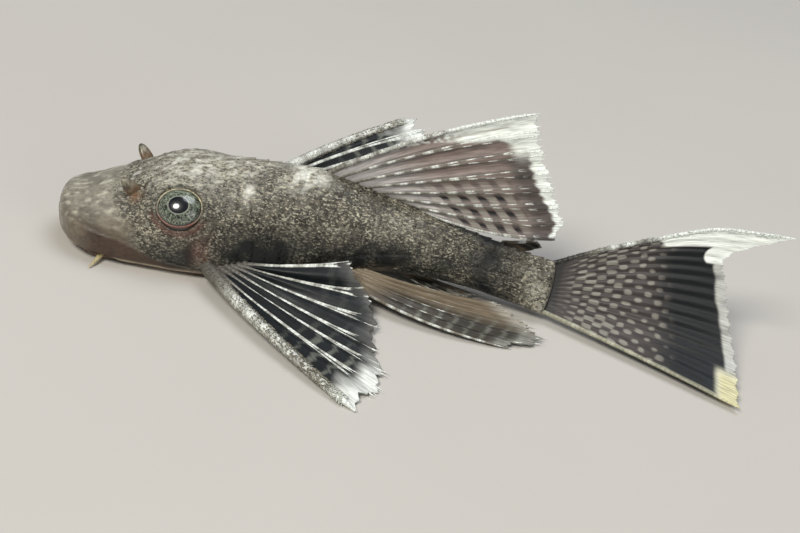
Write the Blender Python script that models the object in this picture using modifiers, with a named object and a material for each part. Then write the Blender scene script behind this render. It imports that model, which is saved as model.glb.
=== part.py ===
"""Bristlenose pleco: a still, life-size model of a young fish lying on its belly.

The fish lies along X, snout toward -X, on the floor z = 0. Its left side faces -Y.
Lengths are in millimetres until a mesh is made. Places along the body are fractions
of the standard length, from the snout (0) to the root of the tail fin (1).
"""
import math

import bmesh
import bpy
from mathutils import Matrix, Vector

MM = 0.001
STANDARD_LENGTH = 34.0
GAP = 0.3
MID_X = 0.7253 * STANDARD_LENGTH
MID_Y = -0.0465 * STANDARD_LENGTH

# Where the body is parted, as fractions of the standard length
HEAD_END = 0.33
TRUNK_END = 0.80
TAIL_END = 1.0

# The body's lie: from BEND_START it curves to its left and leans over to its right
BEND_START = 0.45
BEND_SIDE = -0.062
TWIST_START = 0.40
TWIST_END = 1.02
TWIST = math.radians(34)

# Body profiles: (place along the body, size), all fractions of the standard length
SNOUT_LENGTH = 0.14
SNOUT_HALF_WIDTH = 0.128
SNOUT_BLUNTNESS = 2.2
HALF_WIDTH = ((0.14, 0.128), (0.20, 0.134), (0.27, 0.137), (0.335, 0.137), (0.40, 0.128),
              (0.46, 0.114), (0.53, 0.099), (0.60, 0.084), (0.68, 0.071), (0.76, 0.057),
              (0.84, 0.044), (0.92, 0.032), (1.0, 0.024))
WIDEST_LINE = ((0.0, 0.047), (0.03, 0.041), (0.08, 0.036), (0.20, 0.036), (0.335, 0.042),
               (0.45, 0.052), (0.55, 0.068), (0.65, 0.082), (0.75, 0.083), (0.85, 0.076),
               (1.0, 0.067))
RISE = ((0.0, 0.0), (0.003, 0.038), (0.011, 0.058), (0.026, 0.068), (0.056, 0.079),
        (0.085, 0.093), (0.115, 0.107), (0.145, 0.123), (0.194, 0.143), (0.245, 0.157),
        (0.30, 0.161), (0.40, 0.162), (0.50, 0.150), (0.54, 0.138), (0.60, 0.112),
        (0.66, 0.090), (0.72, 0.075), (0.78, 0.067), (0.85, 0.058), (0.92, 0.052),
        (1.0, 0.049))
DROP = ((0.0, 0.0), (0.003, 0.013), (0.011, 0.024), (0.026, 0.031), (0.056, 0.036),
        (0.085, 0.040), (0.20, 0.040), (0.335, 0.046), (0.45, 0.056), (0.53, 0.063),
        (0.60, 0.064), (0.65, 0.060), (0.72, 0.057), (0.78, 0.054), (0.85, 0.053),
        (0.92, 0.056), (1.0, 0.062))
ROUND_ABOVE = ((0.0, 2.3), (0.15, 2.15), (0.30, 2.0), (0.55, 1.9), (0.75, 2.1), (1.0, 2.3))
ROUND_BELOW = ((0.0, 2.0), (0.08, 3.0), (0.50, 3.2), (0.65, 2.5), (1.0, 2.2))

# Scutes: rows of plates on each flank, each plate raised toward its rear edge
SIDE_STEPS = 17
STEPS_PER_ROW = 3
ROWS = 5
PLATES_START = 0.345
PLATE_COUNT = 24
PLATE_LIFT = 0.16
PLATE_PITCH = (TAIL_END - PLATES_START) / PLATE_COUNT

# Head: where its rings lie between the tip of the snout and its rear end
HEAD_RINGS = (0.0025, 0.009, 0.019, 0.033, 0.051, 0.072, 0.095, 0.12, 0.145, 0.17, 0.195,
              0.22, 0.245, 0.268, 0.288, 0.308)

# Eyes and what surrounds them
EYE_AT = 0.257
EYE_ANGLE = 50
EYE_RADIUS = 1.6
EYE_SUNK = 0.75
RIM_RADIUS = 1.9
RIM_THICKNESS = 0.42

# Nostrils
NOSTRIL_AT = 0.158
NOSTRIL_ANGLE = 30
FLAP_RADII = (0.4, 0.5, 1.25)
FLAP_LEAN = 0.35
PIT_RADIUS = 0.42
PIT_OFFSET = 0.62

# Mouth disc
MOUTH_X = 0.125 * STANDARD_LENGTH
MOUTH_LENGTH_RATIO = 0.93
MOUTH_RINGS = ((1.4, 1.32), (2.4, 1.2), (2.9, 0.92), (3.1, 0.58), (3.6, 0.46), (3.72, 0.24),
               (3.5, 0.0), (1.9, 0.0), (1.2, 0.12), (0.95, 0.5))
MOUTH_ROOF = 0.62
MOUTH_TOP = 1.34
MOUTH_SIDES = 28
SNOUT_RIM_HEIGHT = 0.78
SNOUT_RIM_RADIUS = 4.6
SNOUT_RIM_FORWARD = 0.7
RECESS_FLOOR = -1.0
BARBEL_AT = -0.6
BARBEL_HEIGHT = 0.26
BARBEL_LENGTH = 1.6
BARBEL_RADII = (0.24, 0.2, 0.11)
BARBEL_SIDES = 8

# Fins: half thicknesses, where rays' flanks and rows of points lie, and the large margins
MEMBRANE_HALF = 0.26
MARGIN_HALF = 0.11
RAY_HALF = 0.40
SMALL_RAY_HALF = 0.3
SPINE_HALF = 0.48
RAY_FLANK = 0.22
RAY_FADES_FROM = 0.5
MARGIN_FROM = 0.8
ROOT_LENGTH = 0.3
ROOT_LIFT = GAP + 0.1
FLOOR_CLEARANCE = 0.01
FIN_ROWS = (0.0, 0.1, 0.24, 0.4, 0.56, 0.72, 0.87, 1.0)
SMALL_FIN_ROWS = (0.0, 0.35, 0.7, 1.0)
DORSAL_MARGIN = ((0.923, 0.015, 0.401), (0.932, 0.010, 0.362), (0.946, 0.004, 0.324),
                 (0.963, -0.002, 0.288), (0.979, -0.008, 0.255), (0.995, -0.013, 0.222),
                 (1.011, -0.026, 0.191), (0.997, -0.046, 0.162))
CAUDAL_MARGIN = ((1.45, -0.090, 0.267), (1.335, -0.085, 0.205), (1.339, -0.114, 0.152),
                 (1.355, -0.158, 0.094), (1.371, -0.222, 0.040), (1.367, -0.322, 0.012))
TAIL_ROOT_TOP = 0.046
TAIL_ROOT_BOTTOM = -0.054
TAIL_ROOT_HALF = 0.7
END_STEP = 0.02


def curve_through(stations, s):
    """Smooth value at s of a profile given by (place, value) pairs."""
    if s <= stations[0][0]:
        return stations[0][1]
    if s >= stations[-1][0]:
        return stations[-1][1]
    i = max(k for k in range(len(stations) - 1) if stations[k][0] <= s)

    def slope(k):
        before = stations[max(k - 1, 0)]
        after = stations[min(k + 1, len(stations) - 1)]
        return (after[1] - before[1]) / (after[0] - before[0])

    (a, va), (b, vb) = stations[i], stations[i + 1]
    width = b - a
    t = (s - a) / width
    return ((2 * t**3 - 3 * t**2 + 1) * va + (t**3 - 2 * t**2 + t) * width * slope(i)
            + (3 * t**2 - 2 * t**3) * vb + (t**3 - t**2) * width * slope(i + 1))


def ease(t):
    """0 to 1 with level ends."""
    t = min(max(t, 0.0), 1.0)
    return t * t * (3 - 2 * t)


def half_width(s):
    if s < SNOUT_LENGTH:
        reach = (SNOUT_LENGTH - s) / SNOUT_LENGTH
        return SNOUT_HALF_WIDTH * (1 - reach**SNOUT_BLUNTNESS) ** (1 / SNOUT_BLUNTNESS)
    return curve_through(HALF_WIDTH, s)


def section_axes(s):
    """Centre of the body at s, with its directions along, to the right side and up."""
    bend = max(0.0, s - BEND_START) / (TAIL_END - BEND_START)
    side = BEND_SIDE * bend**2
    yaw = math.atan(2 * BEND_SIDE * bend / (TAIL_END - BEND_START))
    twist = TWIST * ease((s - TWIST_START) / (TWIST_END - TWIST_START))
    along = Vector((math.cos(yaw), math.sin(yaw), 0))
    level = Vector((-math.sin(yaw), math.cos(yaw), 0))
    up = Vector((0, 0, 1))
    right = level * math.cos(twist) - up * math.sin(twist)
    top = level * math.sin(twist) + up * math.cos(twist)
    centre = Vector((s, side, curve_through(WIDEST_LINE, s))) * STANDARD_LENGTH
    return centre, along, right, top


def body_point(s, degrees, lift=0.0):
    """A point on the body at s. Degrees run from the back (0) over the right side (90)."""
    centre, along, right, top = section_axes(s)
    a = math.radians(degrees)
    upper = math.cos(a) >= 0
    power = 2 / curve_through(ROUND_ABOVE if upper else ROUND_BELOW, s)
    reach = curve_through(RISE if upper else DROP, s) * STANDARD_LENGTH
    y = math.copysign(abs(math.sin(a)) ** power, math.sin(a)) * half_width(s) * STANDARD_LENGTH
    z = math.copysign(abs(math.cos(a)) ** power, math.cos(a)) * reach
    out = right * y + top * z
    if lift:
        out += out.normalized() * lift
    point = centre + out
    point.z = max(point.z, 0.0)
    return point


def to_metres(point):
    """From the fish's own frame in mm to the model's frame in metres."""
    return Vector((point.x - MID_X, point.y - MID_Y, point.z)) * MM


def move_to(obj, collection):
    for owner in list(obj.users_collection):
        owner.objects.unlink(obj)
    collection.objects.link(obj)


def link(obj, collection, color, roughness=0.45, metallic=0.0):
    """Put an object in its collection, shade it smooth and give it its own material."""
    move_to(obj, collection)
    material = bpy.data.materials.new(obj.name)
    material.use_nodes = True
    shader = material.node_tree.nodes["Principled BSDF"]
    shader.inputs["Base Color"].default_value = (*color, 1)
    shader.inputs["Roughness"].default_value = roughness
    shader.inputs["Metallic"].default_value = metallic
    obj.data.materials.clear()
    obj.data.materials.append(material)
    obj.data.shade_smooth()
    obj.data.set_sharp_from_angle(angle=math.radians(40))
    return obj


def object_from(name, bm):
    bmesh.ops.recalc_face_normals(bm, faces=bm.faces)
    mesh = bpy.data.meshes.new(name)
    bm.to_mesh(mesh)
    bm.free()
    obj = bpy.data.objects.new(name, mesh)
    bpy.context.scene.collection.objects.link(obj)
    return obj


def loft(name, rings, first_pole=None, last_pole=None):
    """Closed body through rings of equally many points, each end a pole or a flat cap."""
    bm = bmesh.new()
    loops = [[bm.verts.new(to_metres(p)) for p in ring] for ring in rings]
    count = len(loops[0])
    for near, far in zip(loops, loops[1:]):
        for k in range(count):
            after = (k + 1) % count
            bm.faces.new((near[k], near[after], far[after]))
            bm.faces.new((near[k], far[after], far[k]))
    for loop, pole in ((loops[0], first_pole), (loops[-1], last_pole)):
        middle = pole if pole else sum((v.co for v in loop), Vector()) / count
        tip = bm.verts.new(to_metres(middle) if pole else middle)
        for k in range(count):
            bm.faces.new((loop[k], loop[(k + 1) % count], tip))
    return object_from(name, bm)


def ball(centre, radii, turn=None, segments=20, rings=12):
    """A closed ball of the given radii in mm, turned by a matrix and set at a point."""
    bm = bmesh.new()
    bmesh.ops.create_uvsphere(bm, u_segments=segments, v_segments=rings, radius=1)
    size = Matrix.Diagonal((*[r * MM for r in radii], 1))
    place = Matrix.Translation(to_metres(centre)) @ (turn or Matrix.Identity(4)) @ size
    bmesh.ops.transform(bm, matrix=place, verts=bm.verts)
    return object_from("ball", bm)


def combine(obj, tools, operation):
    """Join or cut an object with a list of closed objects, which are then removed."""
    group = bpy.data.collections.new("tools")
    bpy.context.scene.collection.children.link(group)
    for tool in tools:
        move_to(tool, group)
    boolean = obj.modifiers.new("combine", "BOOLEAN")
    boolean.operand_type = "COLLECTION"
    boolean.collection = group
    boolean.operation = operation
    boolean.solver = "EXACT"
    bpy.ops.object.select_all(action="DESELECT")
    obj.select_set(True)
    bpy.context.view_layer.objects.active = obj
    bpy.ops.object.modifier_apply(modifier=boolean.name)
    for tool in tools:
        bpy.data.objects.remove(tool)
    bpy.data.collections.remove(group)
    keep_largest(obj)


def keep_largest(obj):
    """Keep the object's largest connected surface."""
    bm = bmesh.new()
    bm.from_mesh(obj.data)
    unseen = set(bm.verts)
    islands = []
    while unseen:
        stack = [unseen.pop()]
        island = set(stack)
        while stack:
            for edge in stack.pop().link_edges:
                for vert in edge.verts:
                    if vert in unseen:
                        unseen.discard(vert)
                        island.add(vert)
                        stack.append(vert)
        islands.append(island)
    largest = max(islands, key=len)
    bmesh.ops.delete(bm, geom=[v for v in bm.verts if v not in largest], context="VERTS")
    bm.to_mesh(obj.data)
    bm.free()


def ring_at(s, plate_share=0.0):
    """Ring of body points at s; plate_share is how far the scutes stand up there."""
    points = []
    for k in range(2 * SIDE_STEPS):
        step = min(k, 2 * SIDE_STEPS - k)
        on_row = step < ROWS * STEPS_PER_ROW and step % STEPS_PER_ROW
        lift = PLATE_LIFT * plate_share if on_row else 0.0
        points.append(body_point(s, 180 * k / SIDE_STEPS, lift))
    return points


def plated_length(name, start, end, plain_until):
    """A length of body with overlapping rows of scutes behind plain_until."""
    places = [(start, 0.0)]
    if plain_until > start:
        places.append((plain_until, 0.0))
    for plate in range(PLATE_COUNT):
        front = PLATES_START + plate * PLATE_PITCH
        for share, height in ((0.1, 0.15), (0.88, 1.0)):
            s = front + share * PLATE_PITCH
            if places[-1][0] + 0.2 * PLATE_PITCH < s < end - 0.2 * PLATE_PITCH:
                places.append((s, height))
    places.append((end, 0.3))
    return loft(name, [ring_at(s, height) for s, height in places])


def outward(s, degrees):
    """Direction out of the body's surface at a place."""
    here = body_point(s, degrees)
    along = body_point(s + 0.01, degrees) - body_point(s - 0.01, degrees)
    around = body_point(s, degrees + 2) - body_point(s, degrees - 2)
    normal = along.cross(around).normalized()
    centre = section_axes(s)[0]
    return normal if normal.dot(here - centre) > 0 else -normal


def facing(direction):
    """Matrix that turns the Z axis to a direction, with X as near the fish's length as can be."""
    z = direction.normalized()
    y = z.cross(Vector((1, 0, 0))).normalized()
    x = y.cross(z)
    return Matrix((x, y, z)).transposed().to_4x4()


def eye_place(side):
    """Centre of the eyeball and the direction in which the eye looks."""
    degrees = side * EYE_ANGLE
    look = outward(EYE_AT, degrees)
    return body_point(EYE_AT, degrees) - look * EYE_SUNK, look


def make_head(collection):
    places = [*HEAD_RINGS, HEAD_END - GAP / 2 / STANDARD_LENGTH]
    nose = Vector((0, 0, curve_through(WIDEST_LINE, 0) * STANDARD_LENGTH))
    head = loft("head", [ring_at(s) for s in places], first_pole=nose)
    pieces = []
    cutters = []
    for side in (-1, 1):
        centre, look = eye_place(side)
        bpy.ops.mesh.primitive_torus_add(
            major_segments=24, minor_segments=6, major_radius=RIM_RADIUS * MM,
            minor_radius=RIM_THICKNESS * MM, location=to_metres(centre + look * EYE_SUNK),
            rotation=look.to_track_quat("Z", "Y").to_euler())
        rim = bpy.context.object
        pieces.append(rim)
        cutters.append(ball(centre, [EYE_RADIUS + GAP] * 3, facing(look)))

        degrees = side * NOSTRIL_ANGLE
        up = outward(NOSTRIL_AT, degrees)
        root = body_point(NOSTRIL_AT, degrees)
        turn = facing(up - Vector((FLAP_LEAN, 0, 0)))
        pieces.append(ball(root, FLAP_RADII, turn, segments=12, rings=8))
        for way in (-1, 1):
            place = NOSTRIL_AT + way * PIT_OFFSET / STANDARD_LENGTH
            cutters.append(ball(body_point(place, degrees), [PIT_RADIUS] * 3, segments=10, rings=6))
    combine(head, pieces, "UNION")
    recess = [mouth_ring(SNOUT_RIM_RADIUS, height, SNOUT_RIM_FORWARD)
              for height in (RECESS_FLOOR, SNOUT_RIM_HEIGHT)]
    recess += [mouth_ring(radius + GAP, height + GAP) for radius, height in MOUTH_RINGS[3::-1]]
    cutters.append(loft("recess", recess))
    combine(head, cutters, "DIFFERENCE")
    return link(head, collection, (0.16, 0.13, 0.10))


def mouth_ring(radius, height, forward=0.0):
    """Ring round the mouth at a height, a little shorter than it is wide."""
    ring = []
    for k in range(MOUTH_SIDES):
        a = 2 * math.pi * k / MOUTH_SIDES
        ring.append(Vector((MOUTH_X - forward + radius * MOUTH_LENGTH_RATIO * math.cos(a),
                            radius * math.sin(a), height)))
    return ring


def make_mouth(collection):
    rings = [mouth_ring(radius, height) for radius, height in MOUTH_RINGS]
    disc = loft("mouth_disc", rings, first_pole=Vector((MOUTH_X, 0, MOUTH_TOP)),
                last_pole=Vector((MOUTH_X, 0, MOUTH_ROOF)))
    return link(disc, collection, (0.30, 0.22, 0.16))


def make_eye(name, side, collection):
    centre, look = eye_place(side)
    eye = ball(centre, [EYE_RADIUS] * 3, facing(look), segments=20, rings=14)
    eye.name = name
    return link(eye, collection, (0.02, 0.02, 0.015), roughness=0.08)


def make_barbel(name, side, collection):
    """A small feeler at the corner of the mouth, under the edge of the snout."""
    lip = MOUTH_RINGS[5][0]
    root = Vector((MOUTH_X + BARBEL_AT, side * (lip + GAP), BARBEL_HEIGHT))
    way = Vector((-0.08, side * 1.0, -0.03)).normalized()
    level = way.cross(Vector((0, 0, 1))).normalized()
    rings = []
    for k, radius in enumerate(BARBEL_RADII):
        middle = root + way * BARBEL_LENGTH * k / (len(BARBEL_RADII) - 1)
        rings.append([middle + (level * math.cos(a) + Vector((0, 0, 1)) * math.sin(a)) * radius
                      for a in (2 * math.pi * j / BARBEL_SIDES for j in range(BARBEL_SIDES))])
    barbel = loft(name, rings)
    return link(barbel, collection, (0.55, 0.47, 0.32))


def spread(points, q):
    """Point at share q of the way along a smooth curve through a few points."""
    last = len(points) - 1
    return Vector([curve_through([(i / last, p[axis]) for i, p in enumerate(points)], q)
                   for axis in range(3)])


def make_fin(name, rays, root, margin, bow, collection, spines=(True, False), scallop=0.03,
             ray_half=RAY_HALF, spine_half=SPINE_HALF, root_half=MEMBRANE_HALF, rows=FIN_ROWS):
    """A fin: a membrane with raised rays, from its root line out to its margin.

    root(q) gives the root line's points, margin a few points of the rim, both for q from
    0 at the first ray to 1 at the last. bow lifts the middle of the first and last rays.
    """
    columns = [ray + step for ray in range(rays) for step in (-RAY_FLANK, 0, RAY_FLANK)]
    bm = bmesh.new()
    grid = []
    weights = []
    thickest = max(spine_half, root_half)
    for column in columns:
        q = min(max(column / (rays - 1), 0), 1)
        beyond = column / (rays - 1) - q
        base, rim = root(q), spread(margin, q)
        if beyond:
            inner = q - math.copysign(END_STEP, beyond)
            base = base + (base - root(inner)) * abs(beyond) / END_STEP
            rim = rim + (rim - spread(margin, inner)) * abs(beyond) / END_STEP
        ray = round(column)
        is_ray = abs(column - ray) < RAY_FLANK / 2
        full = MEMBRANE_HALF
        if is_ray:
            full = spine_half if (ray, True) in ((0, spines[0]), (rays - 1, spines[1])) else ray_half
        reach = 1 if is_ray else 1 - scallop
        line = []
        for v in rows:
            w = v * reach
            point = base + (rim - base) * w + bow[0].lerp(bow[1], q) * 4 * w * (1 - w)
            half = full + (MEMBRANE_HALF - full) * max(0, v - RAY_FADES_FROM) / (1 - RAY_FADES_FROM)
            half += max(0, root_half - half) * (1 - ease(v / ROOT_LENGTH))
            half += (MARGIN_HALF - half) * max(0, v - MARGIN_FROM) / (1 - MARGIN_FROM)
            point.z = max(point.z, half + FLOOR_CLEARANCE)
            line.append(bm.verts.new(to_metres(point)))
            weights.append(half / thickest)
        grid.append(line)
    for left, right in zip(grid, grid[1:]):
        for k in range(len(rows) - 1):
            quad = (left[k], right[k], right[k + 1], left[k + 1])
            if (quad[0].co - quad[2].co).length > (quad[1].co - quad[3].co).length:
                quad = quad[1:] + quad[:1]
            bm.faces.new(quad[:3])
            bm.faces.new((quad[0], quad[2], quad[3]))
    fin = object_from(name, bm)
    group = fin.vertex_groups.new(name="thickness")
    for index, weight in enumerate(weights):
        group.add([index], weight, "REPLACE")
    solid = fin.modifiers.new("membrane", "SOLIDIFY")
    solid.thickness = 2 * thickest * MM
    solid.offset = 0
    solid.vertex_group = group.name
    return link(fin, collection, (0.10, 0.09, 0.09), roughness=0.4)


def place(x, y, z):
    """A point given in fractions of the standard length."""
    return Vector((x, y, z)) * STANDARD_LENGTH


def body_root(first, last, degrees):
    """Root line of a fin on the body, from one (place, angle) to another."""
    def root(q):
        s = first + (last - first) * q
        return body_point(s, degrees[0] + (degrees[1] - degrees[0]) * q, ROOT_LIFT)
    return root


def tail_root(q):
    """Root line of the tail fin, down the rear end of the body."""
    centre, along, right, top = section_axes(TAIL_END)
    height = TAIL_ROOT_TOP + (TAIL_ROOT_BOTTOM - TAIL_ROOT_TOP) * q
    return centre + along * GAP + top * height * STANDARD_LENGTH


def make_fins(collection):
    make_fin("dorsal_fin", 8, body_root(0.53, 0.715, (0, 0)),
             [place(*point) for point in DORSAL_MARGIN],
             (place(-0.005, 0, 0.016), place(0, -0.010, 0.005)), collection)

    flat = (place(0, 0, 0), place(0, 0, 0))
    make_fin("adipose_fin", 2, body_root(0.895, 0.940, (0, 0)),
             [place(0.965, -0.024, 0.143), place(0.978, -0.031, 0.134)], flat, collection,
             scallop=0.0, ray_half=SMALL_RAY_HALF, spine_half=SMALL_RAY_HALF,
             rows=SMALL_FIN_ROWS)

    make_fin("anal_fin", 4, body_root(0.700, 0.755, (176, 176)),
             [place(0.790, -0.060, 0.009), place(0.835, -0.060, 0.010), place(0.870, -0.044, 0.010)],
             flat, collection, ray_half=SMALL_RAY_HALF, spine_half=SMALL_RAY_HALF,
             rows=SMALL_FIN_ROWS)

    make_fin("caudal_fin", 16, tail_root,
             [place(*point) for point in CAUDAL_MARGIN],
             (place(0, 0.004, 0.030), place(0, 0.004, 0.002)), collection,
             spines=(True, True), root_half=TAIL_ROOT_HALF)

    for side, name in ((-1, "left"), (1, "right")):
        lifted = side > 0
        if lifted:
            rim = [place(0.70, 0.40, 0.18), place(0.735, 0.30, 0.17), place(0.70, 0.20, 0.14),
                   place(0.60, 0.125, 0.10)]
        else:
            rim = [place(0.653, -0.493, 0.005), place(0.697, -0.395, 0.006),
                   place(0.675, -0.29, 0.008), place(0.664, -0.19, 0.028),
                   place(0.600, -0.128, 0.092)]
        make_fin("pectoral_fin_" + name, 7, body_root(0.325, 0.395, (side * 92, side * 88)), rim,
                 (place(-0.02, 0, 0.010), place(0, side * 0.012, 0)), collection)

        if lifted:
            rim = [place(0.90, 0.165, 0.008), place(0.955, 0.140, 0.009),
                   place(0.92, 0.110, 0.016), place(0.87, 0.092, 0.024)]
        else:
            rim = [place(0.93, -0.218, 0.007), place(1.00, -0.185, 0.009),
                   place(0.955, -0.145, 0.026), place(0.90, -0.115, 0.040)]
        make_fin("pelvic_fin_" + name, 6, body_root(0.575, 0.635, (side * 122, side * 128)), rim,
                 (place(-0.01, side * 0.03, 0), place(0, side * 0.01, 0)), collection)


def main():
    for obj in list(bpy.data.objects):
        bpy.data.objects.remove(obj, do_unlink=True)
    collection = bpy.data.collections.new("bristlenose_pleco")
    bpy.context.scene.collection.children.link(collection)
    half_gap = GAP / 2 / STANDARD_LENGTH

    make_head(collection)
    make_mouth(collection)
    for side, name in ((-1, "left"), (1, "right")):
        make_eye("eye_" + name, side, collection)
        make_barbel("barbel_" + name, side, collection)
    trunk = plated_length("trunk", HEAD_END + half_gap, TRUNK_END - half_gap, PLATES_START)
    link(trunk, collection, (0.13, 0.11, 0.08))
    tail = plated_length("tail", TRUNK_END + half_gap, TAIL_END, 0.0)
    link(tail, collection, (0.16, 0.14, 0.11))
    make_fins(collection)


main()
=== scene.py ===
"""Bristlenose pleco: the looks of a still, life-size model of a young fish.

The fish lies along X on its belly, snout toward -X and left side toward -Y. Shapes are
worked out in millimetres in the fish's own frame, where places along the body are shares
of its standard length, and are turned to metres in the model's frame as meshes are made.
"""
import itertools
import math
from dataclasses import dataclass

import bpy
import numpy as np
from bpy.props import FloatProperty, FloatVectorProperty, IntProperty, PointerProperty
from mathutils import Matrix, Vector


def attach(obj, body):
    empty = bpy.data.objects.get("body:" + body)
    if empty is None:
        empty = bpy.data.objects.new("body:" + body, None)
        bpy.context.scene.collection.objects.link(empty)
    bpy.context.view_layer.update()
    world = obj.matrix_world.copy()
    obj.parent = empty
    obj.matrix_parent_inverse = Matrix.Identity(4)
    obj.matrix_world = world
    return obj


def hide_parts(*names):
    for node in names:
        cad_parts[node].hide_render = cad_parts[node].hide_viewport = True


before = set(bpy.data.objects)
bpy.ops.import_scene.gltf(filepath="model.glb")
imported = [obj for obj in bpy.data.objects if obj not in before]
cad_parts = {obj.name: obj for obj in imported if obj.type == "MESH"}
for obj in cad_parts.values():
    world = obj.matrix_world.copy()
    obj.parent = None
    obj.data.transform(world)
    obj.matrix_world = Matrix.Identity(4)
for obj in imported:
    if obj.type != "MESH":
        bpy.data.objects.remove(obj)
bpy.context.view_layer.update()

bl_info = {
    "name": "Bristlenose Pleco",
    "version": (1, 0, 0),
    "blender": (4, 5, 0),
    "location": "View3D > Sidebar > Pleco",
    "description": "Dresses the solids of a young bristlenose pleco in skin, fins and eyes",
    "category": "Object",
}

# The fish's own frame, in millimetres, and the model's
MM = 0.001
SIDES = ((-1, "left"), (1, "right"))
LENGTH = 34.0
ORIGIN = np.array([0.7253, -0.0465, 0.0]) * LENGTH

# The body's lie and profiles, as shares of the standard length. Profiles are pairs of a
# place along the body and a value there.
BEND_START = 0.45
BEND_SIDE = -0.062
TWIST_START = 0.40
TWIST_END = 1.02
TWIST = math.radians(34)
SNOUT_LENGTH = 0.14
SNOUT_HALF_WIDTH = 0.128
SNOUT_BLUNTNESS = 2.2
HALF_WIDTH = ((0.14, 0.128), (0.20, 0.134), (0.27, 0.137), (0.335, 0.137), (0.40, 0.128),
              (0.46, 0.114), (0.53, 0.099), (0.60, 0.084), (0.68, 0.071), (0.76, 0.057),
              (0.84, 0.044), (0.92, 0.032), (1.0, 0.024))
WIDEST_LINE = ((0.0, 0.047), (0.03, 0.041), (0.08, 0.036), (0.20, 0.036), (0.335, 0.042),
               (0.45, 0.052), (0.55, 0.068), (0.65, 0.082), (0.75, 0.083), (0.85, 0.076),
               (1.0, 0.067))
RISE = ((0.0, 0.0), (0.003, 0.038), (0.011, 0.058), (0.026, 0.068), (0.056, 0.079),
        (0.085, 0.093), (0.115, 0.107), (0.145, 0.123), (0.194, 0.143), (0.245, 0.157),
        (0.30, 0.161), (0.40, 0.162), (0.50, 0.150), (0.54, 0.138), (0.60, 0.112),
        (0.66, 0.090), (0.72, 0.075), (0.78, 0.067), (0.85, 0.058), (0.92, 0.052), (1.0, 0.049))
DROP = ((0.0, 0.0), (0.003, 0.013), (0.011, 0.024), (0.026, 0.031), (0.056, 0.036),
        (0.085, 0.040), (0.20, 0.040), (0.335, 0.046), (0.45, 0.056), (0.53, 0.063),
        (0.60, 0.064), (0.65, 0.060), (0.72, 0.057), (0.78, 0.054), (0.85, 0.053),
        (0.92, 0.056), (1.0, 0.062))
ROUND_ABOVE = ((0.0, 2.3), (0.15, 2.15), (0.30, 2.0), (0.55, 1.9), (0.75, 2.1), (1.0, 2.3))
ROUND_BELOW = ((0.0, 2.0), (0.08, 3.0), (0.50, 3.2), (0.65, 2.5), (1.0, 2.2))

# Skin mesh: points round the body and along it, closer together at the snout
SKIN_AROUND = 220
SKIN_ALONG = 416
SNOUT_CROWDING = 0.06
TAIL_CAP_FROM = 0.985
TAIL_CAP_LENGTH = 0.4

# Rows of bony plates on the flanks
ROWS = 5
ROW_DEGREES = 180 * 3 / 17
PLATES_START = 0.345
PLATE_COUNT = 24
PLATE_PITCH = (1 - PLATES_START) / PLATE_COUNT
PLATE_BULGE = 0.32

# Head: eyes and nostrils, with sizes in mm, the fold over the lips as (place, degrees from
# the back), and the gill slit's place
EYE_AT = 0.257
EYE_ANGLE = 50
EYE_RADII = (1.66, 1.48, 1.25)
EYE_SUNK = 0.55
EYE_LOOKS_UP = 0.28
EYE_SQUASH = 0.88
EYE_RIM_SHARE = 0.90
EYE_RIM_THICKNESS = 0.075
SOCKET_RADIUS = 1.48
RIM_RADIUS = 1.76
ORBIT_RADIUS = 2.15
NOSTRIL_AT = 0.158
NOSTRIL_ANGLE = 30
NOSTRIL_SPACING = 0.62
FLAP_SIZE = (0.42, 0.50, 1.15)
FLAP_LEAN = 0.35
FLAP_CUP = 0.35
FOLD_LINE = ((0.03, 62), (0.10, 72), (0.16, 81), (0.22, 90), (0.30, 97))
GILL_AT = 0.314

# Mouth, in mm: a sucking disc under the head, as (radius, height) rings from its top, round
# its rim and in to the roof of its opening
MOUTH_X = 0.125 * LENGTH
MOUTH_RATIO = 0.93
MOUTH_PROFILE = ((0.0, 1.34), (1.4, 1.32), (2.4, 1.2), (2.9, 0.92), (3.1, 0.58), (3.6, 0.46),
                 (3.72, 0.24), (3.5, 0.04), (2.7, 0.05), (1.9, 0.06), (1.2, 0.16), (0.95, 0.5),
                 (0.0, 0.62))
RECESS_RADIUS = 4.6
RECESS_FORWARD = 0.7
RECESS_HEIGHT = 0.78
BARBEL_LENGTH = 1.5
TEETH = 16
TOOTH_LENGTH = 0.26

# Fins, in mm, but for the tail fin's root as shares of the standard length
FIN_ROOT_LIFT = 0.08
TAIL_ROOT_TOP = 0.046
TAIL_ROOT_BOTTOM = -0.054
GRID_PER_RAY_GAP = 12
MEMBRANE_ROWS = 150
MEMBRANE_THICKNESS = 0.09
MEMBRANE_SUNK = 0.5
RAY_SUNK = 0.6
STOUT_SPINE = 0.16
RAY_SIDES = 6
RAY_RINGS = 34
RAY_FLATNESS = 0.8
SEGMENT_LENGTH = 0.34
FLOOR_CLEARANCE = 0.06

# Soft patches of the skin's markings: (strength, place, reach, degrees from the back, reach).
# The dark patches are partly pigment and partly painted shade: the first lies in the hollow
# behind the pectoral fin, the second on the lower flank.
DARK_AND_SHADE_PATCHES = ((1.0, 0.43, 0.10, 84, 22), (0.95, 0.60, 0.15, 102, 24),
                (0.60, 0.26, 0.07, 86, 14), (0.35, 0.20, 0.03, 45, 10))
PALE_PATCHES = ((1.1, 0.385, 0.010, 33, 5), (1.2, 0.495, 0.045, 6, 20),
                (1.0, 0.265, 0.085, 6, 32), (0.80, 0.36, 0.10, 0, 28),
                (0.55, 0.115, 0.022, 24, 14), (0.30, 0.69, 0.06, 45, 25))

# A small spike, in shares of its length: its base, and how far its root lies under its
# middle. The last is the width of its patch on an unwrap.
SPIKE_RADIUS = 0.26
SPIKE_ROOT = 0.42
SPIKE_PATCH = 0.003

# Camera, fitted to the photo: angles in degrees and sizes in shares of the standard length
CAMERA_ELEVATION = 30
CAMERA_AZIMUTH = -2
CAMERA_ROLL = 9.5
CAMERA_DISTANCE = 2.76
CAMERA_TARGET = (0.703, 0.0, 0.023)
CAMERA_LENS = 60

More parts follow.
